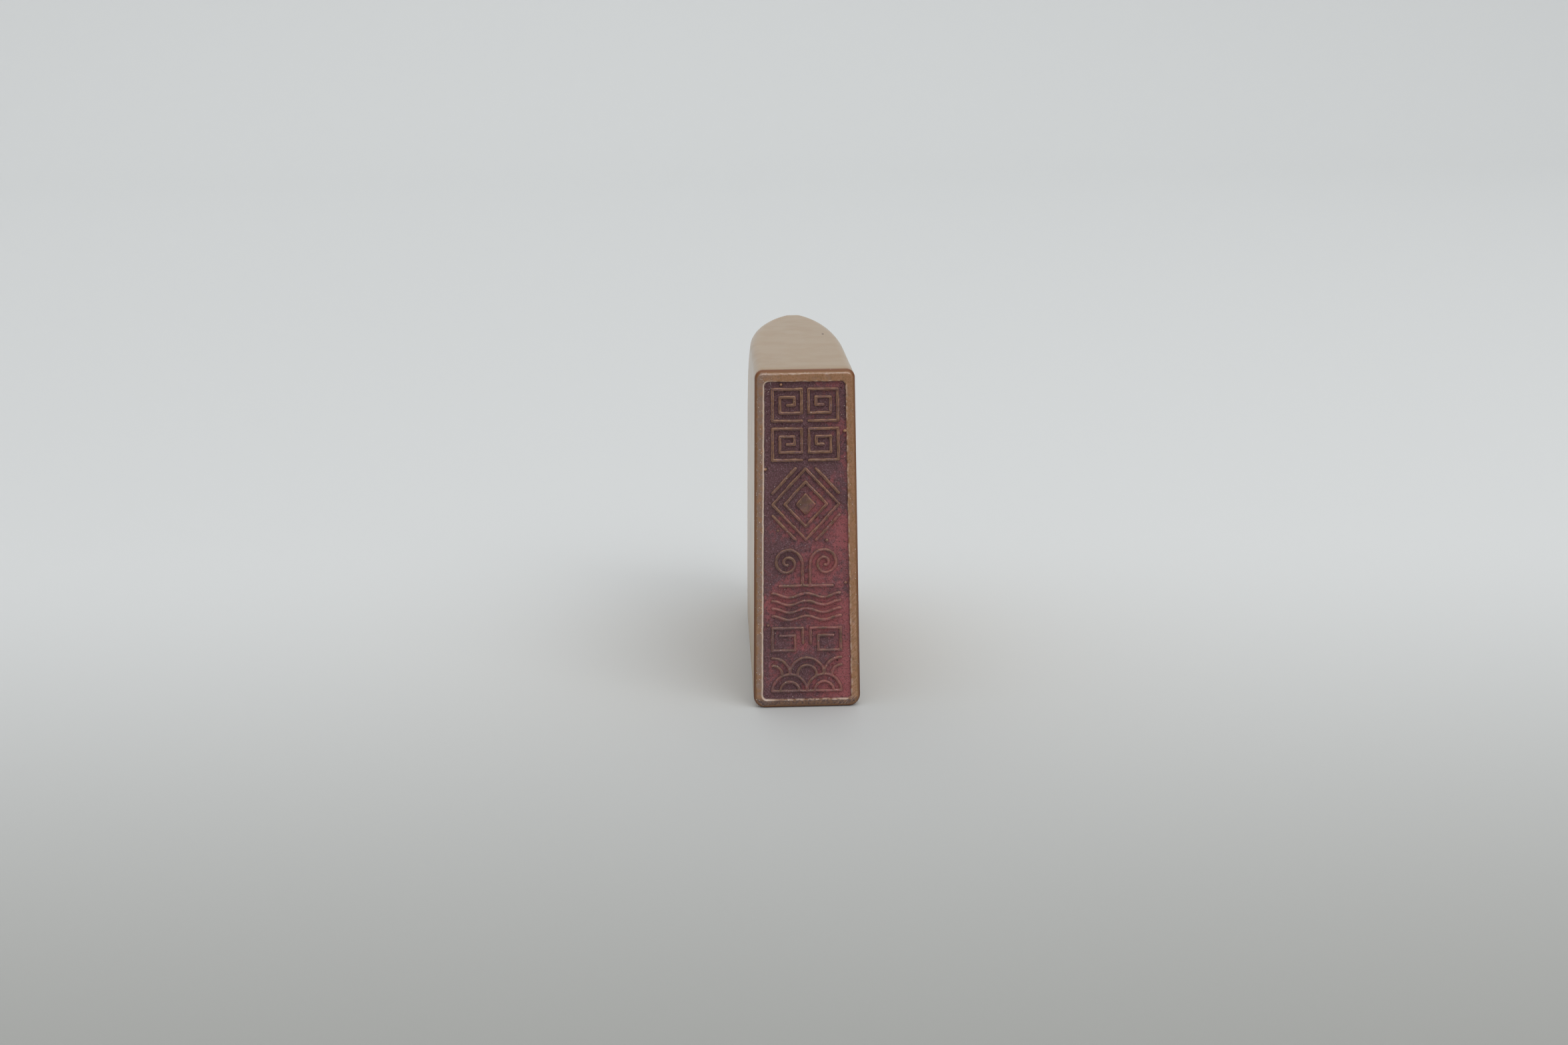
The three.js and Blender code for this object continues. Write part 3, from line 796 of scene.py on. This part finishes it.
def paste_colour_group():
    """Dried paste, and the stain it leaves: maroon where it is old, redder in fresher patches."""
    inputs = {"Vector": "Vector", "Freshness": 0.0, "Seed": 0.0}
    outputs = {"Color": "Color", "Height": "Float", "Roughness": "Float"}
    tree, given, result = new_tree("paste_colour", inputs, outputs, "ShaderNodeTree")
    place = given["Vector"]
    x, _, z = parts_of(tree, place)
    # Fresher towards the right, and from the lozenge down.
    low = ramp(tree, z, 44 * MM, 24 * MM, 0.0, 0.19)
    side = times(tree, x, 0.016 / MM)
    patches = grain(tree, 5.2 * MM, given["Seed"], place, detail=3.0)
    ragged = grain(tree, 0.7 * MM, given["Seed"], place, detail=4.0)
    ragged = scaled(tree, ragged, 0.6, -0.3)
    fresh = calc(tree, "ADD", calc(tree, "ADD", patches, ragged), calc(tree, "ADD", low, side))
    fresh = ramp(tree, calc(tree, "ADD", fresh, given["Freshness"]), 0.55, 0.85)
    colour = blend(tree, fresh, OLD_TONE, RED_TONE)

    mottle = grain(tree, 0.2 * MM, 5.0, place, detail=4.0)
    less_fresh = scaled(tree, fresh, -0.4, 0.72)
    pale = times(tree, ramp(tree, mottle, 0.5, 0.68), less_fresh)
    colour = blend(tree, pale, colour, PALE_PASTE_TONE)
    colour = blend(tree, ramp(tree, mottle, 0.48, 0.34, 0.0, 0.75), colour, GRIME_AND_SHADE_TONE)
    # Pores: small pits painted dark, as painted shade in them.
    pores = specked(tree, place, 0.42 * MM, 0.3, 0.3)
    colour = blend(tree, times(tree, pores, 0.8), colour, GRIME_AND_SHADE_TONE)
    dust = specked(tree, place, 0.3 * MM, 0.08, 0.22)
    colour = blend(tree, times(tree, dust, 0.45), colour, WORN_TONE)
    fill(tree, result, {
        "Color": colour,
        "Height": scaled(tree, pores, -0.7, mottle),
        "Roughness": ramp(tree, mottle, 0.3, 0.8, 0.5, 0.85),
    })
    return tree


def new_material(name, roughness):
    """A material with its shader, ready for its nodes."""
    material = bpy.data.materials.new(name)
    material.use_nodes = True
    tree = material.node_tree
    shader = tree.nodes["Principled BSDF"]
    shader.inputs["Roughness"].default_value = roughness
    return material, tree, shader


def bumped(tree, height, strength, distance):
    """The direction of a surface that this height bends."""
    sockets = {"Strength": strength, "Distance": distance, "Height": height}
    return put(tree, "ShaderNodeBump", sockets).outputs[0]


def inside_recess(tree, x, z):
    """How far a place on the face lies in from the edge of the ground, in metres."""
    taper = (TOP_WIDTH - BASE_WIDTH) / HEIGHT / 2
    reach = scaled(tree, z, taper, BASE_WIDTH / 2 - SIDE_RIM)
    across = minus(tree, reach, calc(tree, "ABSOLUTE", x))
    low = minus(tree, z, BASE_RIM)
    high = minus(tree, HEIGHT - TOP_RIM, z)
    return calc(tree, "MINIMUM", across, calc(tree, "MINIMUM", low, high))


def stone_material():
    material, tree, shader = new_material("polished_stone", 0.3)
    place = object_place(tree)
    x, y, z = parts_of(tree, place)

    # Clouds, faint bands square to the length, and small paler flecks. They are most even towards
    # the top.
    clouds = grain(tree, CLOUD_SIZE, 2.0, place, detail=5.0)
    bands = grain(tree, 1.0, 6.0, stretched(tree, place, BAND_LENGTHS), detail=3.0)
    flecks = grain(tree, FLECK_SIZE, 9.0, place, detail=4.0)
    tone = scaled(tree, clouds, 0.6, 0.165)
    tone = scaled(tree, bands, 0.12, tone)
    lively = ramp(tree, z, HEIGHT - 9 * MM, HEIGHT - 1 * MM, 1.0, 0.15)
    tone = minus(tree, tone, EVEN_TONE)
    tone = scaled(tree, tone, lively, EVEN_TONE)
    colour = blend(tree, ramp(tree, tone, 0.34, 0.56), STONE_TONES[0], STONE_TONES[1])
    colour = blend(tree, ramp(tree, tone, 0.54, 0.78), colour, STONE_TONES[2])
    paler = times(tree, ramp(tree, flecks, 0.55, 0.8, 0.0, 0.2), lively)
    colour = blend(tree, paler, colour, STONE_TONES[2])

    # Painted shade: the rounding round the face is painted a deeper, darker orange, where its
    # reflection falls away, and darker and redder still towards the bottom. Rounding is how far a
    # place lies behind the face.
    rounding = minus(tree, y, FACE_Y)
    rounding_shade = ramp(tree, rounding, 1.6 * FACE_EDGE_RADIUS, FACE_EDGE_RADIUS)
    rounding_shade = times(tree, rounding_shade, ramp(tree, rounding, 0.1 * MM, 0.35 * MM, 0.6, 1.0))
    reddest = ramp(tree, z, 34 * MM, 3 * MM, 0.0, 0.75)
    colour = blend(tree, rounding_shade, colour, blend(tree, reddest, *ROUNDING_SHADE_TONES))

    # One small dark inclusion shows on the upper side.
    inclusion = vector(tree, "SUBTRACT", place, INCLUSION_PLACE)
    inclusion = vector(tree, "LENGTH", vector(tree, "MULTIPLY", inclusion, INCLUSION_SQUEEZE))
    inclusion = ramp(tree, inclusion, 0.26 * MM, 0.15 * MM)
    colour = blend(tree, inclusion, colour, INCLUSION_TONE)

    # The sanded face: matte and finely mottled, dustier on the left, grimy along the bottom, with
    # scratches that show most low down on the right.
    fine = grain(tree, 0.24 * MM, 4.0, place, detail=4.0)
    ragged = scaled(tree, flecks, 0.22 * MM, 0.01 * MM)
    ragged = scaled(tree, reddest, -0.06 * MM, ragged)
    sanded = ramp(tree, minus(tree, rounding, ragged), 0.05 * MM, -0.04 * MM)
    mottled = ramp(tree, fine, 0.4, 0.7, 0.1, 0.8)
    face_tone = blend(tree, mottled, SANDED_TONE, STONE_TONES[0])
    left = ramp(tree, x, -4 * MM, -7.4 * MM)
    patchy = grain(tree, 0.9 * MM, 3.0, place, detail=6.0)
    dusty_left = times(tree, left, ramp(tree, patchy, 0.36, 0.56, 0.15, 0.85))
    dusty = most(tree, dusty_left, ramp(tree, patchy, 0.54, 0.72, 0.0, 0.4))
    face_tone = blend(tree, dusty, face_tone, DUSTY_TONE)
    grimy = ramp(tree, z, 2.2 * MM, 1.2 * MM)
    grimy = times(tree, grimy, ramp(tree, fine, 0.4, 0.6, 0.95, 0.45))
    face_tone = blend(tree, grimy, face_tone, GRIME_AND_SHADE_TONE)
    low_right = ramp(tree, z, 26 * MM, 10 * MM)
    low_right = times(tree, low_right, ramp(tree, x, 0.0, 6 * MM))
    marks = scratched(tree, place, 26, 0.7, 0.1 * MM, 0.75, 1.0)
    marks = times(tree, marks, scaled(tree, low_right, 0.32, 0.04))
    rubs = scratched(tree, place, 20, -0.16, 0.08 * MM, 0.45, 4.0)
    marked = most(tree, marks, times(tree, rubs, 0.08))
    face_tone = blend(tree, marked, face_tone, WORN_TONE)
    colour = blend(tree, sanded, colour, face_tone)
    marked = times(tree, marked, sanded)

    # The carving: its lines are darkened, most of all low down, and its walls and ground are
    # stained and smeared by the paste.
    sunk = kept(tree, "sunk")
    carved = calc(tree, "LESS_THAN", rounding, 2 * MM)
    inside = ramp(tree, inside_recess(tree, x, z), 0.3 * MM, 0.7 * MM)
    inside = times(tree, inside, carved)
    line_tone = blend(tree, ramp(tree, patchy, 0.4, 0.7, 0.0, 0.4), LINE_TONE, WORN_AND_LIT_LINE_TONE)
    line_tone = blend(tree, ramp(tree, z, *DULLING, 0.0, 0.6), line_tone, GRIME_AND_SHADE_TONE)
    colour = blend(tree, inside, colour, line_tone)
    stain = use(tree, paste_colour, {"Vector": place})
    stained = ramp(tree, sunk, 0.1, 0.5)
    smears = grain(tree, 1.7 * MM, 8.0, place, detail=5.0)
    smears = calc(tree, "ADD", smears, ramp(tree, z, 46 * MM, 16 * MM, 0.0, 0.08))
    smears = times(tree, inside, ramp(tree, smears, 0.42, 0.64, 0.05, 0.75))
    colour = blend(tree, most(tree, stained, smears), colour, stain["Color"])

    # The upper edges of the carving are rubbed and partly painted as highlights. The rim's lip is
    # rubbed down to the bare stone, and painted as a highlight most of all on the left and along
    # the bottom, where the light falls.
    # The pale edges of the lines are partly rubbed stone and partly a painted highlight.
    edge = times(tree, ramp(tree, sunk, 0.003, 0.06), ramp(tree, sunk, 0.36, 0.12))
    broken = ramp(tree, grain(tree, 0.6 * MM, 12.0, place, detail=4.0), 0.4, 0.6)
    edge = times(tree, edge, scaled(tree, broken, 0.5, 0.25))
    edge = times(tree, edge, ramp(tree, z, *DULLING, 1.0, 0.5))
    colour = blend(tree, edge, colour, WORN_AND_LIT_LINE_TONE)
    # Painted highlight: the lip is held pale in full on the left and partly at the bottom, on the
    # walls that face the light.
    lowest = ramp(tree, z, 2.4 * MM, 1.6 * MM, 0.0, 0.6)
    held = most(tree, times(tree, broken, 0.45), left, times(tree, broken, lowest))
    bare_and_highlight = times(tree, kept(tree, "lip"), held)
    # Painted highlight: a thin pale line along the top edge of the face, where the rounding meets
    # the rim.
    ridge = times(
        tree,
        ramp(tree, rounding, 0.02 * MM, 0.05 * MM),
        ramp(tree, rounding, 0.11 * MM, 0.07 * MM),
        ramp(tree, z, HEIGHT - 0.85 * MM, HEIGHT - 0.7 * MM),
        scaled(tree, broken, 0.3, 0.35),
    )
    colour = blend(tree, most(tree, bare_and_highlight, ridge), colour, BARE_AND_HIGHLIGHT_TONE)

    # Chips and dust that catch the light, on the face and round its edge.
    near_face = ramp(tree, rounding, 1.2 * MM, 0.3 * MM)
    chips = specked(tree, place, 0.45 * MM, 0.3, 0.14)
    dust = times(tree, specked(tree, place, 0.2 * MM, 0.5, 0.26), left, sanded)
    unstained = minus(tree, 1.0, stained)
    glints = times(tree, most(tree, chips, dust), near_face, unstained)
    colour = blend(tree, times(tree, glints, 0.8), colour, GLINT_TONE)

    matte = most(tree, sanded, inclusion, stained, inside)
    smudges = grain(tree, 4.5 * MM, 15.0, place, detail=4.0)
    polished = ramp(tree, smudges, 0.35, 0.7, 0.28, 0.33)
    polished = scaled(tree, rounding_shade, 0.22, polished)
    rougher = minus(tree, matte, times(tree, matte, rounding_shade))
    height = times(tree, marked, -1.2)
    height = scaled(tree, glints, -0.8, height)
    height = scaled(tree, fine, scaled(tree, matte, 0.7, 0.03), height)
    caked = times(tree, stain["Height"], stained)
    height = scaled(tree, caked, 1.2, height)
    fill(tree, shader, {
        "Base Color": colour,
        "Roughness": scaled(tree, rougher, 0.24, polished),
        "Coat Weight": ramp(tree, most(tree, matte, rounding_shade), 0.0, 1.0, 0.4, 0.05),
        "Coat Roughness": 0.22,
        "IOR": 1.57,
        "Subsurface Weight": 0.2,
        "Subsurface Radius": (1.0, 0.42, 0.16),
        "Subsurface Scale": 2.0 * MM,
        "Normal": bumped(tree, height, 0.5, 0.06 * MM),
    })
    return material


specks = specks_group()
scratches = scratches_group()
paste_colour = paste_colour_group()
polished_stone = stone_material()
keep_result(block, carving_tree(), {
    "Lines": ornament,
    "Ground": ground,
    "Material": polished_stone,
})
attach(block, "root")
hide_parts("seal_stone")

# The dried paste: what is left of red seal paste after years of use, caked on the ground between
# the lines. Each body of it is one closed film: rough and pitted in front, flat on the stone
# behind, thin in the middle and banked up a little against the walls.
PASTE_THICKNESS = 0.34 * MM
THINNEST_PASTE = 0.06 * MM
PASTE_BANK = 0.12 * MM
LUMP_SIZE = 1.6 * MM
PASTE_GRAIN = 0.12 * MM
PASTE_GRAIN_SIZE = 0.32 * MM
PASTE_PITS = 0.2 * MM
PIT_SPACING = 0.75 * MM
# Scraps of film with fewer cells than this have long since come off.
SMALLEST_ISLAND = 24
# How far the parting between two bodies of paste wanders, and over what distance. Its seed is
# fixed, because Blender would take another one in every run.
PARTING_WANDER = 0.5 * MM
PARTING_SIZE = 1.8 * MM
PARTING_SEED = 3


def paste_tree():
    tree, given, result = mesh_tree("dried_paste", {
        **GUIDES, "Seed": 3.0, "Ground Depth": GROUND_DEPTH, "Thickness": PASTE_THICKNESS,
        "Bank": PASTE_BANK, "Grain": PASTE_GRAIN, "Pits": PASTE_PITS,
        "Smallest Island": SMALLEST_ISLAND,
    })
    sunk, _ = use_relief(tree, given)
    x, _, z = parts_of(tree, position(tree))

    def without(geometry, selection, domain):
        sockets = {"Geometry": geometry, "Selection": selection}
        return put(tree, "GeometryNodeDeleteGeometry", sockets, domain=domain).outputs[0]

    # The film reaches in behind the foot of each wall, so no gap is left beside it.
    sheet = without(given["Geometry"], calc(tree, "LESS_THAN", sunk, 0.02), "FACE")
    # Cells that meet at a corner only would pinch the film, so they are taken away.
    around = put(tree, "GeometryNodeInputMeshVertexNeighbors").outputs
    spare = minus(tree, around["Vertex Count"], around["Face Count"])
    for _ in range(3):
        sheet = without(sheet, calc(tree, "GREATER_THAN", spare, 1.5), "POINT")
    island = put(tree, "GeometryNodeInputMeshIsland").outputs["Island Index"]
    cells = put(
        tree, "GeometryNodeAccumulateField", {"Value": 1, "Group ID": island},
        data_type="INT", domain="FACE",
    ).outputs["Total"]
    sheet = without(sheet, calc(tree, "LESS_THAN", cells, given["Smallest Island"]), "FACE")

    flat = joined(tree, x, FACE_Y, z)
    lumps = minus(tree, grain(tree, LUMP_SIZE, 7.0, flat), 0.5)
    crumbs = minus(tree, grain(tree, PASTE_GRAIN_SIZE, 11.0, flat, detail=3.0), 0.5)
    bank = times(tree, ramp(tree, sunk, 1.0, 0.35), given["Bank"])
    lumps = times(tree, lumps, given["Thickness"])
    rise = scaled(tree, lumps, 0.9, given["Thickness"])
    rise = calc(tree, "ADD", rise, bank)
    rise = scaled(tree, crumbs, times(tree, given["Grain"], 2.0), rise)
    holes = put(tree, "ShaderNodeTexVoronoi", {"Vector": flat, "Scale": 1 / PIT_SPACING}).outputs
    held = calc(tree, "GREATER_THAN", parts_of(tree, holes["Color"])[0], 0.62)
    pit = times(tree, ramp(tree, holes["Distance"], 0.24, 0.1), held, given["Pits"])
    rise = most(tree, minus(tree, rise, pit), THINNEST_PASTE)
    floor_y = calc(tree, "ADD", given["Ground Depth"], FACE_Y)
    front_y = minus(tree, floor_y, rise)

    def at(geometry, y, selection=True):
        spot = joined(tree, x, y, z)
        sockets = {"Geometry": geometry, "Selection": selection, "Position": spot}
        return put(tree, "GeometryNodeSetPosition", sockets).outputs[0]

    back = at(marked_with(tree, sheet, "sunk", sunk), floor_y)
    sockets = {"Mesh": back, "Offset Scale": 0.0, "Individual": False}
    raised = put(tree, "GeometryNodeExtrudeMesh", sockets).outputs
    front = at(raised["Mesh"], front_y, raised["Top"])
    closed = put(tree, "GeometryNodeJoinGeometry")
    for part in (front, put(tree, "GeometryNodeFlipFaces", {"Mesh": back}).outputs[0]):
        tree.links.new(part, closed.inputs[0])
    sockets = {"Geometry": closed.outputs[0], "Distance": 1e-6}
    merged = put(tree, "GeometryNodeMergeByDistance", sockets).outputs[0]
    sockets = {"Geometry": merged, "Shade Smooth": True}
    smooth = put(tree, "GeometryNodeSetShadeSmooth", sockets).outputs[0]
    return end_tree(tree, given, result, smooth)


def nearest_bodies(names, places):
    """For each place on the ground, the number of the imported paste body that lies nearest."""
    best = np.full(len(places), np.inf)
    owner = np.zeros(len(places), int)
    for number, name in enumerate(names):
        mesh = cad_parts[name].data
        faces = [polygon.vertices for polygon in mesh.polygons]
        finder = BVHTree.FromPolygons([vertex.co for vertex in mesh.vertices], faces)
        for i, place in enumerate(places):
            reach = finder.find_nearest(place, best[i] if best[i] < 1 else 1.0)[3]
            if reach is not None and reach < best[i]:
                best[i] = reach
                owner[i] = number
    return owner


def paste_films():
    names = sorted(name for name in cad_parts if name.startswith("paste_"))
    points, cells, _ = carved_field(FIELD_COLUMNS, FIELD_ROWS)
    places = []
    noise.seed_set(PARTING_SEED)
    for middle in points[cells].mean(axis=1):
        drift = noise.noise_vector(Vector(middle) / PARTING_SIZE) * PARTING_WANDER
        places.append(Vector((middle[0] + drift.x, FACE_Y + GROUND_DEPTH, middle[2] + drift.z)))
    owner = nearest_bodies(names, places)
    tree = paste_tree()
    films = []
    for number, name in enumerate(names):
        own = cells[owner == number]
        used, renumbered = np.unique(own, return_inverse=True)
        mesh = bpy.data.meshes.new(name)
        mesh.from_pydata(points[used].tolist(), [], renumbered.reshape(own.shape).tolist())
        film = new_object(f"{name}_film", mesh)
        fresh = name == "paste_fresh"
        keep_result(film, tree, {
            "Lines": ornament,
            "Ground": ground,
            "Material": fresh_paste if fresh else old_paste,
        })
        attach(film, "root")
        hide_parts(name)
        films.append(film)
    return films


def paste_material(name, freshness):
    """Crumbly dried paste, with painted shade where it runs in against the walls."""
    material, tree, shader = new_material(name, 0.7)
    place = object_place(tree)
    paste = use(tree, paste_colour, {"Vector": place, "Freshness": freshness})
    shade_by_wall = ramp(tree, kept(tree, "sunk"), 0.98, 0.6, 0.0, 0.5)
    fine = grain(tree, 0.09 * MM, 3.0, place, detail=4.0)
    height = scaled(tree, fine, 0.5, paste["Height"])
    fill(tree, shader, {
        "Base Color": blend(tree, shade_by_wall, paste["Color"], GRIME_AND_SHADE_TONE),
        "Roughness": paste["Roughness"],
        "Normal": bumped(tree, height, 0.9, 0.16 * MM),
    })
    return material


old_paste = paste_material("old_paste", 0.0)
fresh_paste = paste_material("fresh_paste", 0.03)
films = paste_films()

for guide in (ornament, ground):
    bpy.data.objects.remove(guide)

# Loose grains on the paste: dark crumbs of it that stick to the film, thickest low down, and
# white stone dust from the last cleaning, most of it in the upper left corner of the ground.
CRUMB_SIZES = (0.05 * MM, 0.14 * MM)
CRUMB_DENSITY = 1.6e6
DUST_SIZES = (0.03 * MM, 0.075 * MM)
DUST_DENSITY = 1.2e7
GRAIN_SQUEEZE = (1.0, 0.75, 0.85)
FULL_TURN = 6.28
CLUMP_SIZE = 1.5 * MM


def grains_tree(name, lowest, patch_from, patch_to):
    """Scatters small closed grains over the front of a surface, thickest at the second place.
    Lowest is the share of the density that the rest of the surface has."""
    tree, given, result = mesh_tree(name, {
        "Seed": 4, "Density": CRUMB_DENSITY, "Spread": lowest, "Smallest": CRUMB_SIZES[0],
        "Largest": CRUMB_SIZES[1],
    })
    facing = parts_of(tree, put(tree, "GeometryNodeInputNormal").outputs["Normal"])["Y"]
    x, _, z = parts_of(tree, position(tree))
    thick = times(
        tree,
        ramp(tree, x, patch_from[0], patch_to[0]),
        ramp(tree, z, patch_from[1], patch_to[1]),
        ramp(tree, grain(tree, CLUMP_SIZE, 2.0), 0.4, 0.65),
    )
    thick = most(tree, thick, given["Spread"])
    density = times(tree, calc(tree, "LESS_THAN", facing, -0.3), thick, given["Density"])
    sockets = {"Mesh": given["Geometry"], "Density": density, "Seed": given["Seed"]}
    points = put(tree, "GeometryNodeDistributePointsOnFaces", sockets).outputs["Points"]
    sockets = {"Radius": 1.0, "Subdivisions": 1}
    ball = put(tree, "GeometryNodeMeshIcoSphere", sockets).outputs["Mesh"]

    def between(low, high, data_type):
        sockets = {"Min": low, "Max": high, "Seed": given["Seed"]}
        return enabled_output(put(tree, "FunctionNodeRandomValue", sockets, data_type=data_type))

    turn = between((0, 0, 0), (FULL_TURN, FULL_TURN, FULL_TURN), "FLOAT_VECTOR")
    size = between(given["Smallest"], given["Largest"], "FLOAT")
    size = vector(tree, "SCALE", GRAIN_SQUEEZE, size)
    sockets = {"Points": points, "Instance": ball, "Scale": size, "Rotation": turn}
    placed = put(tree, "GeometryNodeInstanceOnPoints", sockets).outputs["Instances"]
    return end_tree(tree, given, result, placed)


def paste_surface(name):
    """One object with the faces of all the films, for grains to be scattered over."""
    whole = bmesh.new()
    for film in films:
        whole.from_mesh(film.data)
    mesh = bpy.data.meshes.new(name)
    whole.to_mesh(mesh)
    whole.free()
    mesh.materials.clear()
    return new_object(name, mesh)


def scatter(name, tree, seed, density, sizes, material):
    grains = paste_surface(name)
    keep_result(grains, tree, {
        "Seed": seed,
        "Density": density,
        "Smallest": sizes[0],
        "Largest": sizes[1],
        "Material": material,
    })
    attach(grains, "root")


stone_dust, dust_nodes, dust_shader = new_material("stone_dust", 0.4)
dust_tone = grain(dust_nodes, 0.3 * MM, 1.0, object_place(dust_nodes))
dust_tone = ramp(dust_nodes, dust_tone, 0.35, 0.65)
dust_tone = blend(dust_nodes, dust_tone, WORN_TONE, GLINT_TONE)
fill(dust_nodes, dust_shader, {"Base Color": dust_tone})
crumb_tree = grains_tree("scatter_crumbs", 0.12, (-9 * MM, 52 * MM), (4 * MM, 8 * MM))
dust_tree = grains_tree("scatter_dust", 0.008, (-4.6 * MM, 43 * MM), (-6.3 * MM, 52 * MM))
scatter("paste_crumbs", crumb_tree, 4, CRUMB_DENSITY, CRUMB_SIZES, old_paste)
scatter("stone_dust", dust_tree, 9, DUST_DENSITY, DUST_SIZES, stone_dust)

# The studio: a pale sweep, with painted shade towards the front, that runs back under the seal and
# curves up far behind it, soft light from all round that is strongest in front, a large lamp in
# front, above and to the right, and another over the far end of the sweep.
SWEEP_HALF_WIDTH = 2.5
SWEEP_FRONT = -1.2
SWEEP_BEND_START = 1.3
SWEEP_BEND_RADIUS = 0.8
SWEEP_TOP = 2.2
SWEEP_BEND_STEPS = 24
# Painted shade: the sweep is painted darker in front, and paler up to just behind the seal.
SWEEP_TONES = ((0.3, 0.3, 0.275, 1), (0.78, 0.795, 0.79, 1))
SWEEP_PALING = (-0.26, 0.08)
SKY_TONE = (0.975, 0.985, 1.0, 1)
SKY_GLOW = (0.37, 0.92)


def sweep_mesh():
    profile = [(SWEEP_FRONT, 0.0)]
    for turn in np.linspace(0, math.pi / 2, SWEEP_BEND_STEPS + 1):
        back = SWEEP_BEND_START + SWEEP_BEND_RADIUS * math.sin(turn)
        profile.append((back, SWEEP_BEND_RADIUS * (1 - math.cos(turn))))
    profile.append((SWEEP_BEND_START + SWEEP_BEND_RADIUS, SWEEP_TOP))
    points = [(x, y, z) for y, z in profile for x in (-SWEEP_HALF_WIDTH, SWEEP_HALF_WIDTH)]
    faces = [(i, i + 1, i + 3, i + 2) for i in range(0, len(points) - 2, 2)]
    mesh = bpy.data.meshes.new("studio_sweep")
    mesh.from_pydata(points, [], faces)
    mesh.shade_smooth()
    return mesh


sweep = new_object("studio_sweep", sweep_mesh())
pale, pale_tree, pale_shader = new_material("pale_sweep", 0.9)
paling = ramp(pale_tree, parts_of(pale_tree, object_place(pale_tree))["Y"], *SWEEP_PALING)
sweep_tone = blend(pale_tree, paling, *SWEEP_TONES)
fill(pale_tree, pale_shader, {"Base Color": sweep_tone})
sweep.data.materials.append(pale)

world = bpy.data.worlds.new("even_light")
world.use_nodes = True
sky = world.node_tree
towards = parts_of(sky, put(sky, "ShaderNodeTexCoord").outputs["Generated"])
# The sky is brightest overhead and in front, and dimmer far out to either side.
glow = times(
    sky,
    ramp(sky, towards["Z"], -0.1, 1.0, *SKY_GLOW),
    ramp(sky, towards["X"], 0.2, 1.0, 1.0, 0.6),
    ramp(sky, towards["X"], -0.1, -0.9, 1.0, 0.75),
    scaled(sky, towards["Y"], -0.25, 1.0),
)
fill(sky, sky.nodes["Background"], {"Color": SKY_TONE, "Strength": glow})
bpy.context.scene.world = world
bpy.context.scene.view_settings.view_transform = "Standard"


def soft_lamp(name, place, aim, size, power):
    """A square lamp of this size, turned towards a point."""
    light = bpy.data.lights.new(name, "AREA")
    light.size = size
    light.energy = power
    lamp = new_object(name, light)
    lamp.location = place
    lamp.rotation_euler = (Vector(aim) - Vector(place)).to_track_quat("-Z", "Y").to_euler()


soft_lamp("key_lamp", (0.56, -0.72, 0.95), (0, 0, 0.03), 0.85, 3.3)
soft_lamp("back_lamp", (-0.2, 1.3, 1.7), (0, 1.2, 0), 1.4, 3.5)

# The camera stands in front of the printing face, a little to the left and above it. Its angles
# are in degrees, and its lens and sensor, in millimetres, give the photograph's field of view.
CAMERA_PLACE = Vector((-15.04, -341.37, 108.16)) * MM
CAMERA_YAW = -2.13
CAMERA_PITCH = 13.89
CAMERA_ROLL = -0.555
CAMERA_SENSOR = 36
CAMERA_LENS = 44.39
camera_data = bpy.data.cameras.new("camera")
camera_data.sensor_width = CAMERA_SENSOR
camera_data.lens = CAMERA_LENS
camera_data.clip_start = 0.01
camera = new_object("camera", camera_data)
turn = Matrix.Rotation(math.radians(CAMERA_YAW), 4, "Z")
turn = turn @ Matrix.Rotation(math.radians(90 - CAMERA_PITCH), 4, "X")
turn = turn @ Matrix.Rotation(math.radians(CAMERA_ROLL), 4, "Z")
camera.matrix_world = Matrix.Translation(CAMERA_PLACE) @ turn
bpy.context.scene.camera = camera
